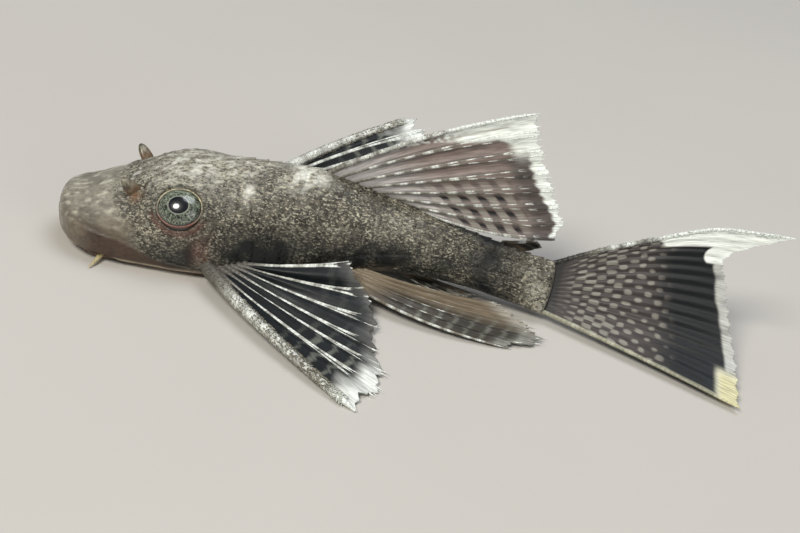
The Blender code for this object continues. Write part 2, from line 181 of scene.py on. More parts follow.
# Lights: name, place and size in metres, share of the key light's power, and colour
LIGHTS = (("key_light", (-0.16, -0.22, 0.34), 0.16, 1.0, "#fffaf2"),
          ("top_light", (0.10, 0.10, 0.40), 0.30, 0.6, "#f4f8ff"),
          ("fill_light", (0.30, -0.30, 0.16), 0.30, 0.25, "#ffffff"))

NOISE_TABLE = np.random.default_rng(7).uniform(-1, 1, 65536)


def linear(hex_colour):
    """Linear colour, with alpha, from an sRGB hex value."""
    shares = [int(hex_colour[k:k + 2], 16) / 255 for k in (1, 3, 5)]
    return (*[c / 12.92 if c <= 0.04045 else ((c + 0.055) / 1.055) ** 2.4 for c in shares], 1.0)


def ramp(value, low, high):
    """0 at low and 1 at high, with level ends."""
    t = np.clip((value - low) / (high - low), 0, 1)
    return t * t * (3 - 2 * t)


def near(value, middle, reach):
    """1 at the middle, fading to nothing past the reach on both sides."""
    return np.exp(-((value - middle) / reach) ** 2)


def noise(points, size, kind=0):
    """Smooth noise from -1 to 1 in lumps of about a size; another kind is another pattern."""
    cell = points / size + 500
    low = np.floor(cell).astype(np.int64)
    share = cell - low
    share = share * share * (3 - 2 * share)
    total = 0
    for corner in itertools.product((0, 1), repeat=3):
        at = low + np.array(corner)
        weight = np.prod(np.where(corner, share, 1 - share), axis=-1)
        code = at[..., 0] * 73856093 ^ at[..., 1] * 19349663 ^ at[..., 2] * 83492791
        total = total + weight * NOISE_TABLE[(code + kind * 7919) & 65535]
    return total


def unit(vectors):
    return vectors / np.maximum(np.linalg.norm(vectors, axis=-1, keepdims=True), 1e-12)


def dot(a, b):
    return np.sum(a * b, axis=-1)


def curve(stations, s):
    """Smooth value at s of a profile given by (place, value) pairs."""
    place, value = np.array(stations, float).T
    slope = np.gradient(value)
    slope[1:-1] = (value[2:] - value[:-2]) / (place[2:] - place[:-2])
    slope[0] = (value[1] - value[0]) / (place[1] - place[0])
    slope[-1] = (value[-1] - value[-2]) / (place[-1] - place[-2])
    s = np.clip(s, place[0], place[-1])
    i = np.clip(np.searchsorted(place, s, side="right") - 1, 0, len(place) - 2)
    width = place[i + 1] - place[i]
    t = (s - place[i]) / width
    return ((2 * t**3 - 3 * t**2 + 1) * value[i] + (t**3 - 2 * t**2 + t) * width * slope[i]
            + (3 * t**2 - 2 * t**3) * value[i + 1] + (t**3 - t**2) * width * slope[i + 1])


def half_width(s):
    reach = np.clip((SNOUT_LENGTH - s) / SNOUT_LENGTH, 0, 1)
    snout = SNOUT_HALF_WIDTH * (1 - reach**SNOUT_BLUNTNESS) ** (1 / SNOUT_BLUNTNESS)
    return np.where(s < SNOUT_LENGTH, snout, curve(HALF_WIDTH, s))


def section(s):
    """Centre of the body at s, with its directions along, to the right side and up."""
    s = np.asarray(s, float)
    bend = np.maximum(0, s - BEND_START) / (1 - BEND_START)
    yaw = np.arctan(2 * BEND_SIDE * bend / (1 - BEND_START))
    twist = TWIST * ramp(s, TWIST_START, TWIST_END)
    zero = np.zeros_like(s)
    along = np.stack([np.cos(yaw), np.sin(yaw), zero], -1)
    level = np.stack([-np.sin(yaw), np.cos(yaw), zero], -1)
    up = np.array([0.0, 0.0, 1.0])
    right = level * np.cos(twist)[..., None] - up * np.sin(twist)[..., None]
    top = level * np.sin(twist)[..., None] + up * np.cos(twist)[..., None]
    centre = np.stack([s, BEND_SIDE * bend**2, curve(WIDEST_LINE, s)], -1) * LENGTH
    return centre, along, right, top


def body(s, degrees, lift=0.0):
    """Points on the plain body. Degrees run from the back (0) over the right side (90)."""
    s, degrees = np.broadcast_arrays(np.asarray(s, float), np.asarray(degrees, float))
    centre, along, right, top = section(s)
    a = np.radians(degrees)
    above = np.cos(a) >= 0
    power = 2 / np.where(above, curve(ROUND_ABOVE, s), curve(ROUND_BELOW, s))
    reach = np.where(above, curve(RISE, s), curve(DROP, s))
    y = np.sign(np.sin(a)) * np.abs(np.sin(a)) ** power * half_width(s) * LENGTH
    z = np.sign(np.cos(a)) * np.abs(np.cos(a)) ** power * reach * LENGTH
    out = right * y[..., None] + top * z[..., None]
    point = centre + out + unit(out) * np.asarray(lift, float)[..., None]
    point[..., 2] = np.maximum(point[..., 2], 0)
    return point


def body_axes(s, degrees):
    """Directions out of the plain body and back along it."""
    s = np.asarray(s, float)
    step = 0.003
    back = unit(body(s + step, degrees) - body(np.maximum(s - step, 1e-4), degrees))
    around = body(s, degrees + 1.5) - body(s, degrees - 1.5)
    out = unit(np.cross(back, around))
    facing = dot(out, body(s, degrees) - section(s)[0])
    return out * np.where(facing < 0, -1, 1)[..., None], back


def eye_axis(side):
    """Centre of an eyeball, in mm, and the direction in which it looks."""
    out = body_axes(EYE_AT, side * EYE_ANGLE)[0]
    look = unit(out + np.array([0.0, 0.0, EYE_LOOKS_UP]))
    return body(EYE_AT, side * EYE_ANGLE) - look * EYE_SUNK, look


EYES = {side: eye_axis(side) for side in (-1, 1)}


def from_eye(point, degrees):
    """Distance from the axis of the eye on the same side, and height over that axis, in mm.

    The orbit is an oval lying lengthwise, so heights count for more than lengths.
    """
    left = (degrees < 0)[..., None]
    rel = point - np.where(left, EYES[-1][0], EYES[1][0])
    look = np.where(left, EYES[-1][1], EYES[1][1])
    ahead = dot(rel, look)
    aside = rel - look * ahead[..., None]
    rise = unit(np.array([0.0, 0.0, 1.0]) - look * look[..., 2:3])
    over = dot(aside, rise)
    length = np.sqrt(np.maximum(dot(aside, aside) - over**2, 0))
    radius = np.hypot(length, over / EYE_SQUASH)
    return np.where(ahead > -0.8, radius, 99.0), over


def plate_edge(row, across):
    """How far back a plate's rear edge lies in its row, in plates, at a share across it."""
    return PLATE_BULGE * (1 - (2 * across - 1) ** 2) - 0.5 * (row % 2)


def plate_place(s, side):
    """Shares across and along the plate at a place."""
    row = np.minimum(side / ROW_DEGREES, ROWS - 0.001)
    across = row % 1
    along = (s - PLATES_START) / PLATE_PITCH - plate_edge(np.floor(row), across)
    return across, along % 1


def regions(s, degrees, point):
    """Shares from 0 to 1 of the bare snout, the bare belly, the lips' side and the armour."""
    side = np.abs(degrees)
    patch = noise(point, 1.6, 3)
    snout_end = 0.125 + 0.0008 * np.clip(side - 30, 0, 60) + 0.014 * patch
    snout = 1 - ramp(s, snout_end - 0.02, snout_end + 0.02)
    under_head = ramp(side, 100, 112) * (1 - ramp(s, 0.30, 0.34))
    belly = np.maximum(under_head, ramp(side, 124, 136) * (1 - ramp(s, 0.64, 0.72)))
    lips = ramp(side - curve(FOLD_LINE, s), 0, 3) * (1 - ramp(s, 0.26, 0.31))
    bare = np.maximum.reduce([snout, belly, lips])
    return snout, belly, lips, 1 - bare


def from_gill(s, side):
    """Distance behind the gill slit, in mm."""
    return (s - GILL_AT - 0.0009 * np.abs(side - 82)) * LENGTH


def relief(s, degrees, point):
    """Height of the sculpted skin over the plain body, in mm."""
    side = np.abs(degrees)
    snout, belly, lips, armour = regions(s, degrees, point)
    plated = armour * ramp(s, 0.325, 0.36)
    across, along = plate_place(s, side)
    rear_drop = 1 - ramp(along, 0.93, 1.0)
    groove = ramp(np.minimum(across, 1 - across), 0.0, 0.12)
    keel = near(across, 0.5, 0.14) * along
    plate = (0.03 + 0.085 * along**1.5 + 0.03 * keel) * rear_drop * groove
    height = plated * (plate - 0.045)

    lumps = 0.6 * noise(point, 1.3, 1) + 0.4 * noise(point, 0.55, 2)
    height = height + 0.05 * lumps * (1 - 0.5 * belly)
    head = armour * (1 - ramp(s, 0.31, 0.35))
    height = height + 0.028 * head * noise(point, 0.26, 5)
    streaks = noise(point * np.array([0.35, 1.0, 1.0]), 0.22, 6)
    height = height + 0.022 * np.maximum(snout, lips) * streaks

    radius, over = from_eye(point, degrees)
    orbit = 0.30 * near(radius, ORBIT_RADIUS, 0.75) * ramp(over, -1.6, 1.2)
    height = height + orbit + 0.16 * near(radius, RIM_RADIUS, 0.17)
    height = height - 1.0 * (1 - ramp(radius, SOCKET_RADIUS - 0.08, SOCKET_RADIUS + 0.06))

    for way in (-1, 1):
        pit = body(NOSTRIL_AT + way * NOSTRIL_SPACING / LENGTH, np.sign(degrees) * NOSTRIL_ANGLE)
        span = np.linalg.norm(point - pit, axis=-1)
        height = height - 0.34 * near(span, 0, 0.30) + 0.07 * near(span, 0.48, 0.14)

    fold = side - curve(FOLD_LINE, s)
    on_fold = ramp(s, 0.03, 0.07) * (1 - ramp(s, 0.28, 0.31))
    height = height - 0.13 * on_fold * near(fold, 0, 2.4) + 0.05 * on_fold * near(fold, -5, 4)
    slit = near(from_gill(s, side), 0, 0.13) * ramp(side, 55, 66) * (1 - ramp(side, 112, 124))
    height = height - 0.13 * slit
    height = height - 0.30 * near(s, 0.425, 0.05) * near(side, 78, 14)
    dorsal_base = ramp(s, 0.50, 0.54) * (1 - ramp(s, 0.71, 0.74)) * near(side, 0, 5)
    return height + 0.14 * dorsal_base


def skin_point(s, degrees):
    """Points on the sculpted skin, with the directions out of it and back along it."""
    plain = body(s, degrees)
    out, back = body_axes(s, degrees)
    point = plain + out * relief(s, degrees, plain)[..., None]
    return open_mouth_recess(point), out, back


def open_mouth_recess(point):
    """Raise the underside of the head where the mouth disc sits."""
    x, y, z = point[..., 0], point[..., 1], point[..., 2]
    rim = np.hypot((x - MOUTH_X + RECESS_FORWARD) / MOUTH_RATIO, y)
    disc = np.hypot((x - MOUTH_X) / MOUTH_RATIO, y)
    roof = RECESS_HEIGHT * (1 - ramp(rim, RECESS_RADIUS - 0.35, RECESS_RADIUS))
    roof = np.maximum(roof, 1.7 * (1 - ramp(disc, 2.6, 3.5)))
    return np.stack([x, y, np.maximum(z, roof)], -1)


def patches(s, side, table):
    """Strongest of several soft patches at each place."""
    return np.maximum.reduce([strength * near(s, place, reach) * near(side, angle, wide)
                              for strength, place, reach, angle, wide in table])


def skin_marks(s, degrees, point):
    """Markings of skin and granules, each from 0 to 1."""
    side = np.abs(degrees)
    snout, belly, lips, armour = regions(s, degrees, point)
    spot = noise(point, 0.75, 12)
    fleck = noise(point, 0.34, 13)
    streak = noise(point * np.array([0.3, 1.0, 1.0]), 0.24, 14)
    radius, over = from_eye(point, degrees)
    # Dark: pigment blotches and the dark tail root, with painted shade in the hollow behind the
    # pectoral fin and on the lower flank
    dark = np.maximum.reduce([
        patches(s, side, DARK_AND_SHADE_PATCHES),
        0.75 * near(s, 0.885, 0.055),
        0.55 * near(s, 0.78, 0.08) * ramp(side, 75, 105)])
    blotch = ramp(noise(point, 1.7, 11) + 0.6 * spot, 0.1, 0.8)
    dark = np.clip(dark * (1.2 + 0.35 * spot) + 0.30 * blotch, 0, 1)
    pale = np.maximum(patches(s, side, PALE_PATCHES),
                      0.50 * ramp(s, 0.945, 0.975) * ramp(spot, -0.6, 0.5))
    pale = pale * (0.9 + 0.6 * spot + 0.4 * streak) + 0.35 * ramp(fleck, 0.45, 0.8) * (1 - dark)
    grain = fleck + 0.5 * streak
    white = np.maximum.reduce([
        near(s, 0.385, 0.009) * near(side, 33, 5),
        1.2 * near(s, 0.495, 0.034) * near(side, 12, 15) * ramp(fleck + 0.4 * spot, -0.4, 0.4),
        0.8 * near(s, 0.255, 0.060) * near(side, 2, 24) * ramp(grain, -0.1, 0.5),
        0.5 * near(s, 0.34, 0.10) * near(side, 0, 26) * ramp(grain, 0.1, 0.6),
        0.45 * near(s, 0.15, 0.04) * near(side, 8, 22) * ramp(grain, 0.1, 0.6)])
    gill = near(from_gill(s, side), 0, 0.20) * near(side, 90, 16)
    below_eye = 0.5 * near(radius, RIM_RADIUS + 0.1, 0.22) * ramp(-over, 0.3, 0.9)
    cheek = 0.40 * near(s, 0.305, 0.018) * near(side, 80, 10)
    return {"snout": snout, "belly": belly, "armour": armour, "dark": dark, "white": white,
            # low: where the snout's lower sides get painted shade
            "low": ramp(side, 38, 74) * ramp(s, 0.01, 0.05),
            "lips": lips * ramp(s, 0.055, 0.10),
            "pale": np.clip(pale, 0, 1),
            # Streaks: painted highlights, pale streaks on the upper sides of the bare snout
            "streaks": (0.85 * ramp(streak + 0.4 * spot, 0.1, 0.7) * snout
                        * (1 - ramp(side, 50, 80))),
            "warm": np.maximum.reduce([below_eye, cheek, 0.55 * gill]),
            "orange": (near((s - 0.168) * LENGTH, 0, 0.42) * near(side, 38, 6)
                       * ramp(spot, -0.9, 0.2))}


def to_model(points):
    """From millimetres in the fish's own frame to metres in the model's."""
    return (np.asarray(points, float) - ORIGIN) * MM


def activate(obj):
    bpy.ops.object.select_all(action="DESELECT")
    obj.select_set(True)
    bpy.context.view_layer.objects.active = obj


def primitive(name, kind, **sizes):
    """Add one of the mesh primitives with nothing else selected."""
    bpy.ops.object.select_all(action="DESELECT")
    getattr(bpy.ops.mesh, "primitive_" + kind + "_add")(**sizes)
    obj = bpy.context.object
    obj.name = name
    obj.data.name = name
    return obj


def points_of(obj):
    flat = np.empty(len(obj.data.vertices) * 3, np.float32)
    obj.data.vertices.foreach_get("co", flat)
    return flat.reshape(-1, 3).astype(float)


def set_points(obj, points):
    """Move an object's points to places in the fish's own frame, in mm."""
    obj.data.vertices.foreach_set("co", to_model(points).astype(np.float32).ravel())
    obj.data.update()


def set_marks(obj, marks):
    """Store one number for each point under each name."""
    for name, values in marks.items():
        attribute = obj.data.attributes.new(name, "FLOAT", "POINT")
        attribute.data.foreach_set("value", np.asarray(values, np.float32).ravel())


def set_unwrap(obj, name, places):
    """Store each point's place on a UV map."""
    layer = obj.data.uv_layers.new(name=name)
    index = np.empty(len(obj.data.loops), np.int32)
    obj.data.loops.foreach_get("vertex_index", index)
    layer.data.foreach_set("uv", places.reshape(-1, 2)[index].astype(np.float32).ravel())


def finish_piece(obj, material, replaces=()):
    """Turn a piece's faces outward, and give it its material, shading and place."""
    activate(obj)
    bpy.ops.object.mode_set(mode="EDIT")
    bpy.ops.mesh.select_all(action="SELECT")
    bpy.ops.mesh.normals_make_consistent(inside=False)
    bpy.ops.object.mode_set(mode="OBJECT")
    obj.data.materials.clear()
    obj.data.materials.append(material)
    bpy.ops.object.shade_smooth()
    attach(obj, "root")
    if replaces:
        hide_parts(*replaces)
    return obj


def repeated(name, pattern, places, marks, unwrap):
    """One object made of many copies of a small mesh.

    places holds the points of each copy, in mm, and unwrap their places on the coat's UV map.
    """
    copies, count = places.shape[:2]
    corners = [list(face.vertices) for face in pattern.data.polygons]
    sizes = np.tile([len(face) for face in corners], copies)
    own = np.array(list(itertools.chain.from_iterable(corners)))
    index = (own[None, :] + np.arange(copies)[:, None] * count).ravel()
    mesh = bpy.data.meshes.new(name)
    mesh.vertices.add(copies * count)
    mesh.vertices.foreach_set("co", to_model(places).astype(np.float32).ravel())
    mesh.loops.add(len(index))
    mesh.loops.foreach_set("vertex_index", index.astype(np.int32))
    mesh.polygons.add(len(sizes))
    mesh.polygons.foreach_set("loop_start", (np.cumsum(sizes) - sizes).astype(np.int32))
    mesh.update(calc_edges=True)
    obj = bpy.data.objects.new(name, mesh)
    bpy.context.scene.collection.objects.link(obj)
    set_unwrap(obj, "OFBake", unwrap)
    set_marks(obj, marks)
    bpy.data.objects.remove(pattern)
    return obj


def add(tree, kind, inputs=None, **settings):
    """Add a node with its settings; each input is a value or another node's output."""
    node = tree.nodes.new("ShaderNode" + kind)
    for name, value in settings.items():
        setattr(node, name, value)
    for key, value in (inputs or {}).items():
        if isinstance(value, bpy.types.NodeSocket):
            tree.links.new(value, node.inputs[key])
        else:
            node.inputs[key].default_value = value
    return node


def new_material(name, roughness, ior=1.4, coat=0.0, coat_roughness=0.12):
    """A material, with its node tree and shader."""
    material = bpy.data.materials.new(name)
    material.use_nodes = True
    tree = material.node_tree
    shader = tree.nodes["Principled BSDF"]
    for socket, value in (("Roughness", roughness), ("IOR", ior), ("Coat Weight", coat),
                          ("Coat Roughness", coat_roughness)):
        shader.inputs[socket].default_value = value
    return material, tree, shader


def mark(tree, name):
    """The share that a mark stored on the mesh gives."""
    return add(tree, "Attribute", attribute_name=name).outputs["Fac"]


def mottle(tree, size, where=None, detail=3.0, rough=0.5, warp=0.0):
    """Noise in lumps of a size in metres, by the object's own coordinates or a given place."""
    if where is None:
        where = add(tree, "TexCoord").outputs["Object"]
    return add(tree, "TexNoise", {"Vector": where, "Scale": 1 / size, "Detail": detail,
                                  "Roughness": rough, "Distortion": warp}).outputs["Fac"]


def between(tree, value, low, high, first=0.0, last=1.0):
    """How far a value is from low to high, on a scale from first to last."""
    return add(tree, "MapRange", {0: value, 1: low, 2: high, 3: first, 4: last}).outputs[0]


def calculate(tree, operation, *values):
    inputs = dict(enumerate(values))
    return add(tree, "Math", inputs, operation=operation).outputs[0]


def lengthwise(tree):
    """The object's own coordinates, in which lumps are drawn out along the fish."""
    where = add(tree, "TexCoord").outputs["Object"]
    return add(tree, "Mapping", {"Vector": where, "Scale": (0.62, 1.0, 1.0)}).outputs[0]


def dress(tree, shader, colour, shade=None, height=None, strength=0.4, distance=0.00004):
    """Give a shader its colour, with a shade and a bump where they are given."""
    if shade is not None:
        colour = add(tree, "VectorMath", {0: colour, "Scale": shade}, operation="SCALE").outputs[0]
    tree.links.new(colour, shader.inputs["Base Color"])
    if height is not None:
        bump = add(tree, "Bump", {"Strength": strength, "Distance": distance, "Height": height})
        tree.links.new(bump.outputs[0], shader.inputs["Normal"])


def layered(tree, colour, layers):
    """Lay colours over one another, each by the share that a mark or a node gives."""
    for share, over in layers:
        if isinstance(share, str):
            share = mark(tree, share)
        mix = add(tree, "Mix", {0: share, 6: colour, 7: over}, data_type="RGBA")
        colour = mix.outputs[2]
    return colour


def speckled(tree, settings, colour, lie):
    """Fish skin's fine mottling over a colour: dark flecks, then pale granule tips, which are
    partly the granules' own pale and partly painted glints.

    Flecks and tips are about 0.15 mm across and drawn out lengthwise. Tips come in clusters
    of about a millimetre.
    """
    armour = mark(tree, "armour")
    fleck = mottle(tree, 0.00019, lie, rough=0.6)
    flecks = between(tree, fleck, 0.54, 0.44, 0.0, 0.72)
    crowd = calculate(tree, "MULTIPLY_ADD", mottle(tree, 0.0011, lie), 0.24,
                      mottle(tree, 0.00012, lie, rough=0.65))
    tips = between(tree, crowd, 0.635, 0.735)
    colour = layered(tree, colour, [
        (calculate(tree, "MULTIPLY", armour, flecks), settings.dark_tone),
        (calculate(tree, "MULTIPLY", armour, tips), settings.granule_tone)])
    return colour, fleck, tips


def skin_material(settings):
    """Moist fish skin over bone: dark olive taupe, with pale granules and dark blotches.

    The wet slime coat gives it a soft sheen. The pale streaks, 0.3 mm wide, on the top of the bare
    snout are painted highlights. The darkest colour adds painted shade in the hollow behind the
    pectoral fin and on the lower flank, as well as darkening pigment.
    """
    material, tree, shader = new_material("moist_armoured_skin", 0.45, coat=0.10)
    blotches = mottle(tree, 0.0012, detail=5.0, rough=0.65)
    base = layered(tree, settings.dark_tone, [
        (between(tree, blotches, 0.36, 0.66), settings.skin_tone),
        ("snout", settings.snout_tone),
        ("pale", settings.pale_tone)])
    lie = lengthwise(tree)
    base, fleck, tips = speckled(tree, settings, base, lie)
    # Painted shade: the lower sides of the snout are painted darker than its top
    shaded_lower_snout = calculate(tree, "MULTIPLY", mark(tree, "snout"), mark(tree, "low"))
    base = layered(tree, base, [
        (shaded_lower_snout, linear("#6d6456")),
        # Painted highlights: pale streaks on the top of the snout
        ("streaks", linear("#b9b5a4")),
        ("lips", linear("#4d3d32")),
        ("belly", settings.belly_tone),
        # Painted shade as well as pigment: the darkest colour fills the hollow behind the pectoral
        # fin and the lower flank
        ("dark", settings.pigment_and_shade_tone),
        ("warm", linear("#70453c")),
        ("orange", linear("#75563c")),
        ("white", linear("#dcdcd0"))])
    tree.links.new(between(tree, fleck, 0.3, 0.7, 0.36, 0.62), shader.inputs["Roughness"])
    wrinkle = mottle(tree, 0.00035, lie, detail=4.0, warp=0.8)
    height = add(tree, "Mix", {0: mark(tree, "armour"), 2: wrinkle, 3: tips}).outputs[0]
    dress(tree, shader, base, between(tree, fleck, 0.3, 0.7, 0.72, 1.25), height, 0.5, 0.00005)
    return material


def granule_material(settings):
    """Dentine of the skin's small tooth-like granules: hard, a little glossy, pale in places."""
    material, tree, shader = new_material("skin_granule_dentine", 0.40, ior=1.5)
    tint = mottle(tree, 0.0003, lengthwise(tree))
    dress(tree, shader, layered(tree, linear("#4d483c"), [
        (between(tree, tint, 0.48, 0.70, 0.0, 0.8), settings.granule_tone),
        ("pale", linear("#c3bfae")),
        # Painted shade with dark pigment: the skin's dark mark, strongest behind the pectoral fin
        # and on the lower flank
        ("dark", linear("#2b2b27")),
        ("warm", linear("#7a5a4c")),
        ("white", linear("#e4eae4"))]))
    return material


def make_skin(settings):
    """One closed skin over head, trunk and tail, with its plates, folds and sockets."""
    skin = primitive("skin", "uv_sphere", segments=SKIN_AROUND, ring_count=SKIN_ALONG, radius=1)
    ball = points_of(skin)
    share = np.arccos(np.clip(ball[:, 2], -1, 1)) / math.pi
    degrees = np.degrees(np.arctan2(ball[:, 1], ball[:, 0]))
    t = np.minimum(share / TAIL_CAP_FROM, 1)
    s = t * t / (t + SNOUT_CROWDING) * (1 + SNOUT_CROWDING)
    s = np.maximum(s, 1e-4)
    point = skin_point(s, degrees)[0]
    cap = np.clip((share - TAIL_CAP_FROM) / (1 - TAIL_CAP_FROM), 0, 1)
    centre, along = section(s)[:2]
    shrink = np.sqrt(1 - cap**2)[:, None]
    point = centre + (point - centre) * shrink + along * (cap * TAIL_CAP_LENGTH)[:, None]
    set_points(skin, point)
    set_marks(skin, skin_marks(s, degrees, body(s, degrees)))
    skin.data.uv_layers[0].name = "OFBake"
    return finish_piece(skin, skin_material(settings), ("head", "trunk", "tail"))


def spikes(name, roots, lean, across, lengths, marks=None, unwrap=None, sides=4):
    """Many small spikes: each has a root, a direction, a direction across and a length."""
    cone = primitive("spike", "cone", vertices=sides, radius1=SPIKE_RADIUS, radius2=0.0, depth=1)
    own = points_of(cone)
    x = unit(across - lean * dot(across, lean)[:, None])
    y = np.cross(lean, x)
    size = lengths[:, None, None]
    places = roots[:, None, :] + size * (x[:, None, :] * own[None, :, 0:1]
                                         + y[:, None, :] * own[None, :, 1:2]
                                         + lean[:, None, :] * (own[None, :, 2:3] + SPIKE_ROOT))
    places[..., 2] = np.maximum(places[..., 2], 0.0)
    marks = {key: np.repeat(value, len(own)) for key, value in (marks or {}).items()}
    if unwrap is None:
        unwrap = np.zeros((len(roots), 2))
    patch = own[:, :2] * SPIKE_PATCH / (2 * SPIKE_RADIUS)
    return repeated(name, cone, places, marks, unwrap[:, None, :] + patch[None, :, :])


def make_granules(settings):
    """The coat: fine granules over the armour, and a comb along each plate's rear edge."""
    rng = np.random.default_rng(11)
    s = rng.uniform(0.10, 1.0, settings.granule_count * 3)
    degrees = rng.uniform(-150, 150, len(s))
    girth = half_width(s) * (1.6 - 0.6 * np.abs(degrees) / 150)
    plain = body(s, degrees)
    radius = from_eye(plain, degrees)[0]
    chance = regions(s, degrees, plain)[3] * girth / 0.22 * (radius > SOCKET_RADIUS + 0.12)
    keep = rng.random(len(s)) < chance
    s, degrees = s[keep][:settings.granule_count], degrees[keep][:settings.granule_count]
    size = rng.uniform(0.55, 1.0, len(s))

    comb_s, comb_degrees = [], []
    for row in range(ROWS):
        teeth = 7 if row < 3 else 5
        for plate, tooth, side in itertools.product(range(PLATE_COUNT), range(teeth), (-1, 1)):
            across = (tooth + 0.5) / teeth
            comb_s.append(PLATES_START + (plate + 0.88 + plate_edge(row, across)) * PLATE_PITCH)
            comb_degrees.append(side * (row + across) * ROW_DEGREES)
    comb_s = np.array(comb_s)
    comb_degrees = np.array(comb_degrees)
    on_armour = regions(comb_s, comb_degrees, body(comb_s, comb_degrees))[3] > 0.5
    shown = on_armour & (comb_s > 0.34) & (comb_s < 0.995)
    s = np.concatenate([s, comb_s[shown]])
    degrees = np.concatenate([degrees, comb_degrees[shown]])
    size = np.concatenate([size, rng.uniform(1.2, 1.6, shown.sum())])

    point, out, back = skin_point(s, degrees)
    lean = unit(out * 0.55 + back * 0.85)
    lengths = size * settings.granule_length / MM
    marks = skin_marks(s, degrees, body(s, degrees))
    share = s / (1 + SNOUT_CROWDING)
    t = (share + np.sqrt(share**2 + 4 * share * SNOUT_CROWDING)) / 2
    unwrap = np.stack([(degrees / 360) % 1, 1 - t * TAIL_CAP_FROM], -1)
    granules = spikes("granules", point - out * 0.02, lean, np.cross(out, back), lengths,
                      marks, unwrap)
    return finish_piece(granules, granule_material(settings))


def eye_material(settings):
    """Wet cornea over a mottled, silvery iris: glossy clear coat over dark and bright rings."""
    material, tree, shader = new_material("wet_cornea_over_iris", 0.30, 1.38, 1.0, 0.03)
    radius = mark(tree, "radius")
    iris = mottle(tree, 0.00020, detail=5.0, rough=0.7, warp=1.2)
    wave = calculate(tree, "MULTIPLY_ADD", iris, 0.22, radius)
    iris = layered(tree, linear("#1f231d"), [(between(tree, iris, 0.45, 0.57),
                                             settings.iris_tone)])
    dress(tree, shader, layered(tree, linear("#05070f"), [
        (between(tree, radius, 0.65, 0.67), linear("#8f9287")),
        (between(tree, wave, 0.80, 0.87), iris),
        (between(tree, wave, 1.42, 1.56), linear("#2f2a24"))]))
    return material


def rim_material():
    """Thin moist skin round the eye: cream above and behind, reddish below."""
    material, tree, shader = new_material("moist_eye_rim_skin", 0.4, coat=0.2)
    dress(tree, shader, layered(tree, linear("#6f6a5a"), [
        ("cream", linear("#d8cfae")),
        ("warm", linear("#7d4a40")),
        (between(tree, mottle(tree, 0.0002), 0.35, 0.65, 0.0, 0.5), linear("#57503f"))]))
    return material


def eye_turn(side):
    """An eye's centre and its directions: lengthwise, upward and out."""
    centre, look = EYES[side]
    level = unit(np.cross(look, np.array([0.0, 0.0, 1.0])))
    return centre, np.stack([level, np.cross(level, look), look])


def make_eyes(settings):
    """Two bulging eyeballs in place of the plain balls, each with a thin rim of skin."""
    ball_material = eye_material(settings)
    edge_material = rim_material()
    for side, name in SIDES:
        centre, turn = eye_turn(side)
        eye = primitive("eyeball_" + name, "uv_sphere", segments=96, ring_count=64, radius=1)
        own = points_of(eye)
        set_points(eye, centre + (own * np.array(EYE_RADII)) @ turn)
        aside = np.where(own[:, 2] > 0, np.hypot(own[:, 0], own[:, 1]), 1.0)
        set_marks(eye, {"radius": aside * EYE_RADII[0]})
        finish_piece(eye, ball_material, ("eye_" + name,))

        rim = primitive("eye_rim_" + name, "torus", major_segments=120, minor_segments=10,
                        major_radius=1, minor_radius=EYE_RIM_THICKNESS / EYE_RADII[0])
        own = points_of(rim)
        turned = np.arctan2(own[:, 1], own[:, 0])
        spread = EYE_RIM_SHARE + (np.hypot(own[:, 0], own[:, 1]) - 1)
        over = np.sqrt(1 - EYE_RIM_SHARE**2) * EYE_RADII[2] + own[:, 2] * EYE_RADII[0]
        flat = np.stack([np.cos(turned) * spread * EYE_RADII[0],
                         np.sin(turned) * spread * EYE_RADII[1], over], -1)
        set_points(rim, centre + flat @ turn)
        behind = np.sin(turned) * 0.85 + np.cos(turned) * (turn[0, 0] > 0) * 0.5
        set_marks(rim, {"cream": ramp(behind, -0.1, 0.5), "warm": ramp(-np.sin(turned), 0.35, 0.8)})
        finish_piece(rim, edge_material)


def flap_material():
    """Thin moist skin of the nostril flaps, olive grey and browner at the root."""
    material, tree, shader = new_material("moist_flap_skin", 0.38, coat=0.2)
    dress(tree, shader, layered(tree, linear("#4a4438"), [
        (between(tree, mottle(tree, 0.0003, detail=4.0), 0.38, 0.62), linear("#8f8b78")),
        ("root", linear("#69513b"))]))
    return material


def make_nostrils():
    """A standing leaf of skin between the two openings of each nostril."""
    material = flap_material()
    for side, name in SIDES:
        flap = primitive("nostril_flap_" + name, "uv_sphere", segments=24, ring_count=18, radius=1)
        own = points_of(flap)
        root, out = skin_point(np.array(NOSTRIL_AT), np.array(side * float(NOSTRIL_ANGLE)))[:2]
        up = unit(out - np.array([FLAP_LEAN, 0, 0]))
        across = unit(np.cross(up, np.array([1.0, 0, 0])))
        ahead = np.cross(across, up)
        cup = FLAP_CUP * own[:, 1] ** 2
        set_points(flap, root + np.outer(own[:, 2] * FLAP_SIZE[2], up)
                   + np.outer(own[:, 1] * FLAP_SIZE[1], across)
                   + np.outer(own[:, 0] * FLAP_SIZE[0] - cup * FLAP_SIZE[1], ahead))
        set_marks(flap, {"root": 0.8 * (1 - ramp(own[:, 2], 0.1, 0.7))})
        finish_piece(flap, material)


def lip_material():
    """Soft, wet lip tissue: warm grey-brown with paler papillae."""
    material, tree, shader = new_material("wet_lip_tissue", 0.4, coat=0.3)
    base = layered(tree, linear("#5a4437"), [
        (between(tree, mottle(tree, 0.0006, detail=4.0), 0.35, 0.65), linear("#806a58")),
        ("papilla", linear("#b5a28c")),
        ("throat", linear("#3a2420"))])
    dress(tree, shader, base, height=mottle(tree, 0.00012))
    return material


def tooth_material():
    """Enamel of the small teeth: smooth and hard, stained amber in places."""
    material, tree, shader = new_material("tooth_enamel", 0.25, ior=1.62)
    stain = mottle(tree, 0.0003, detail=2.0)
    dress(tree, shader, layered(tree, linear("#e9dcb8"), [(stain, linear("#b98a4a"))]))
    return material


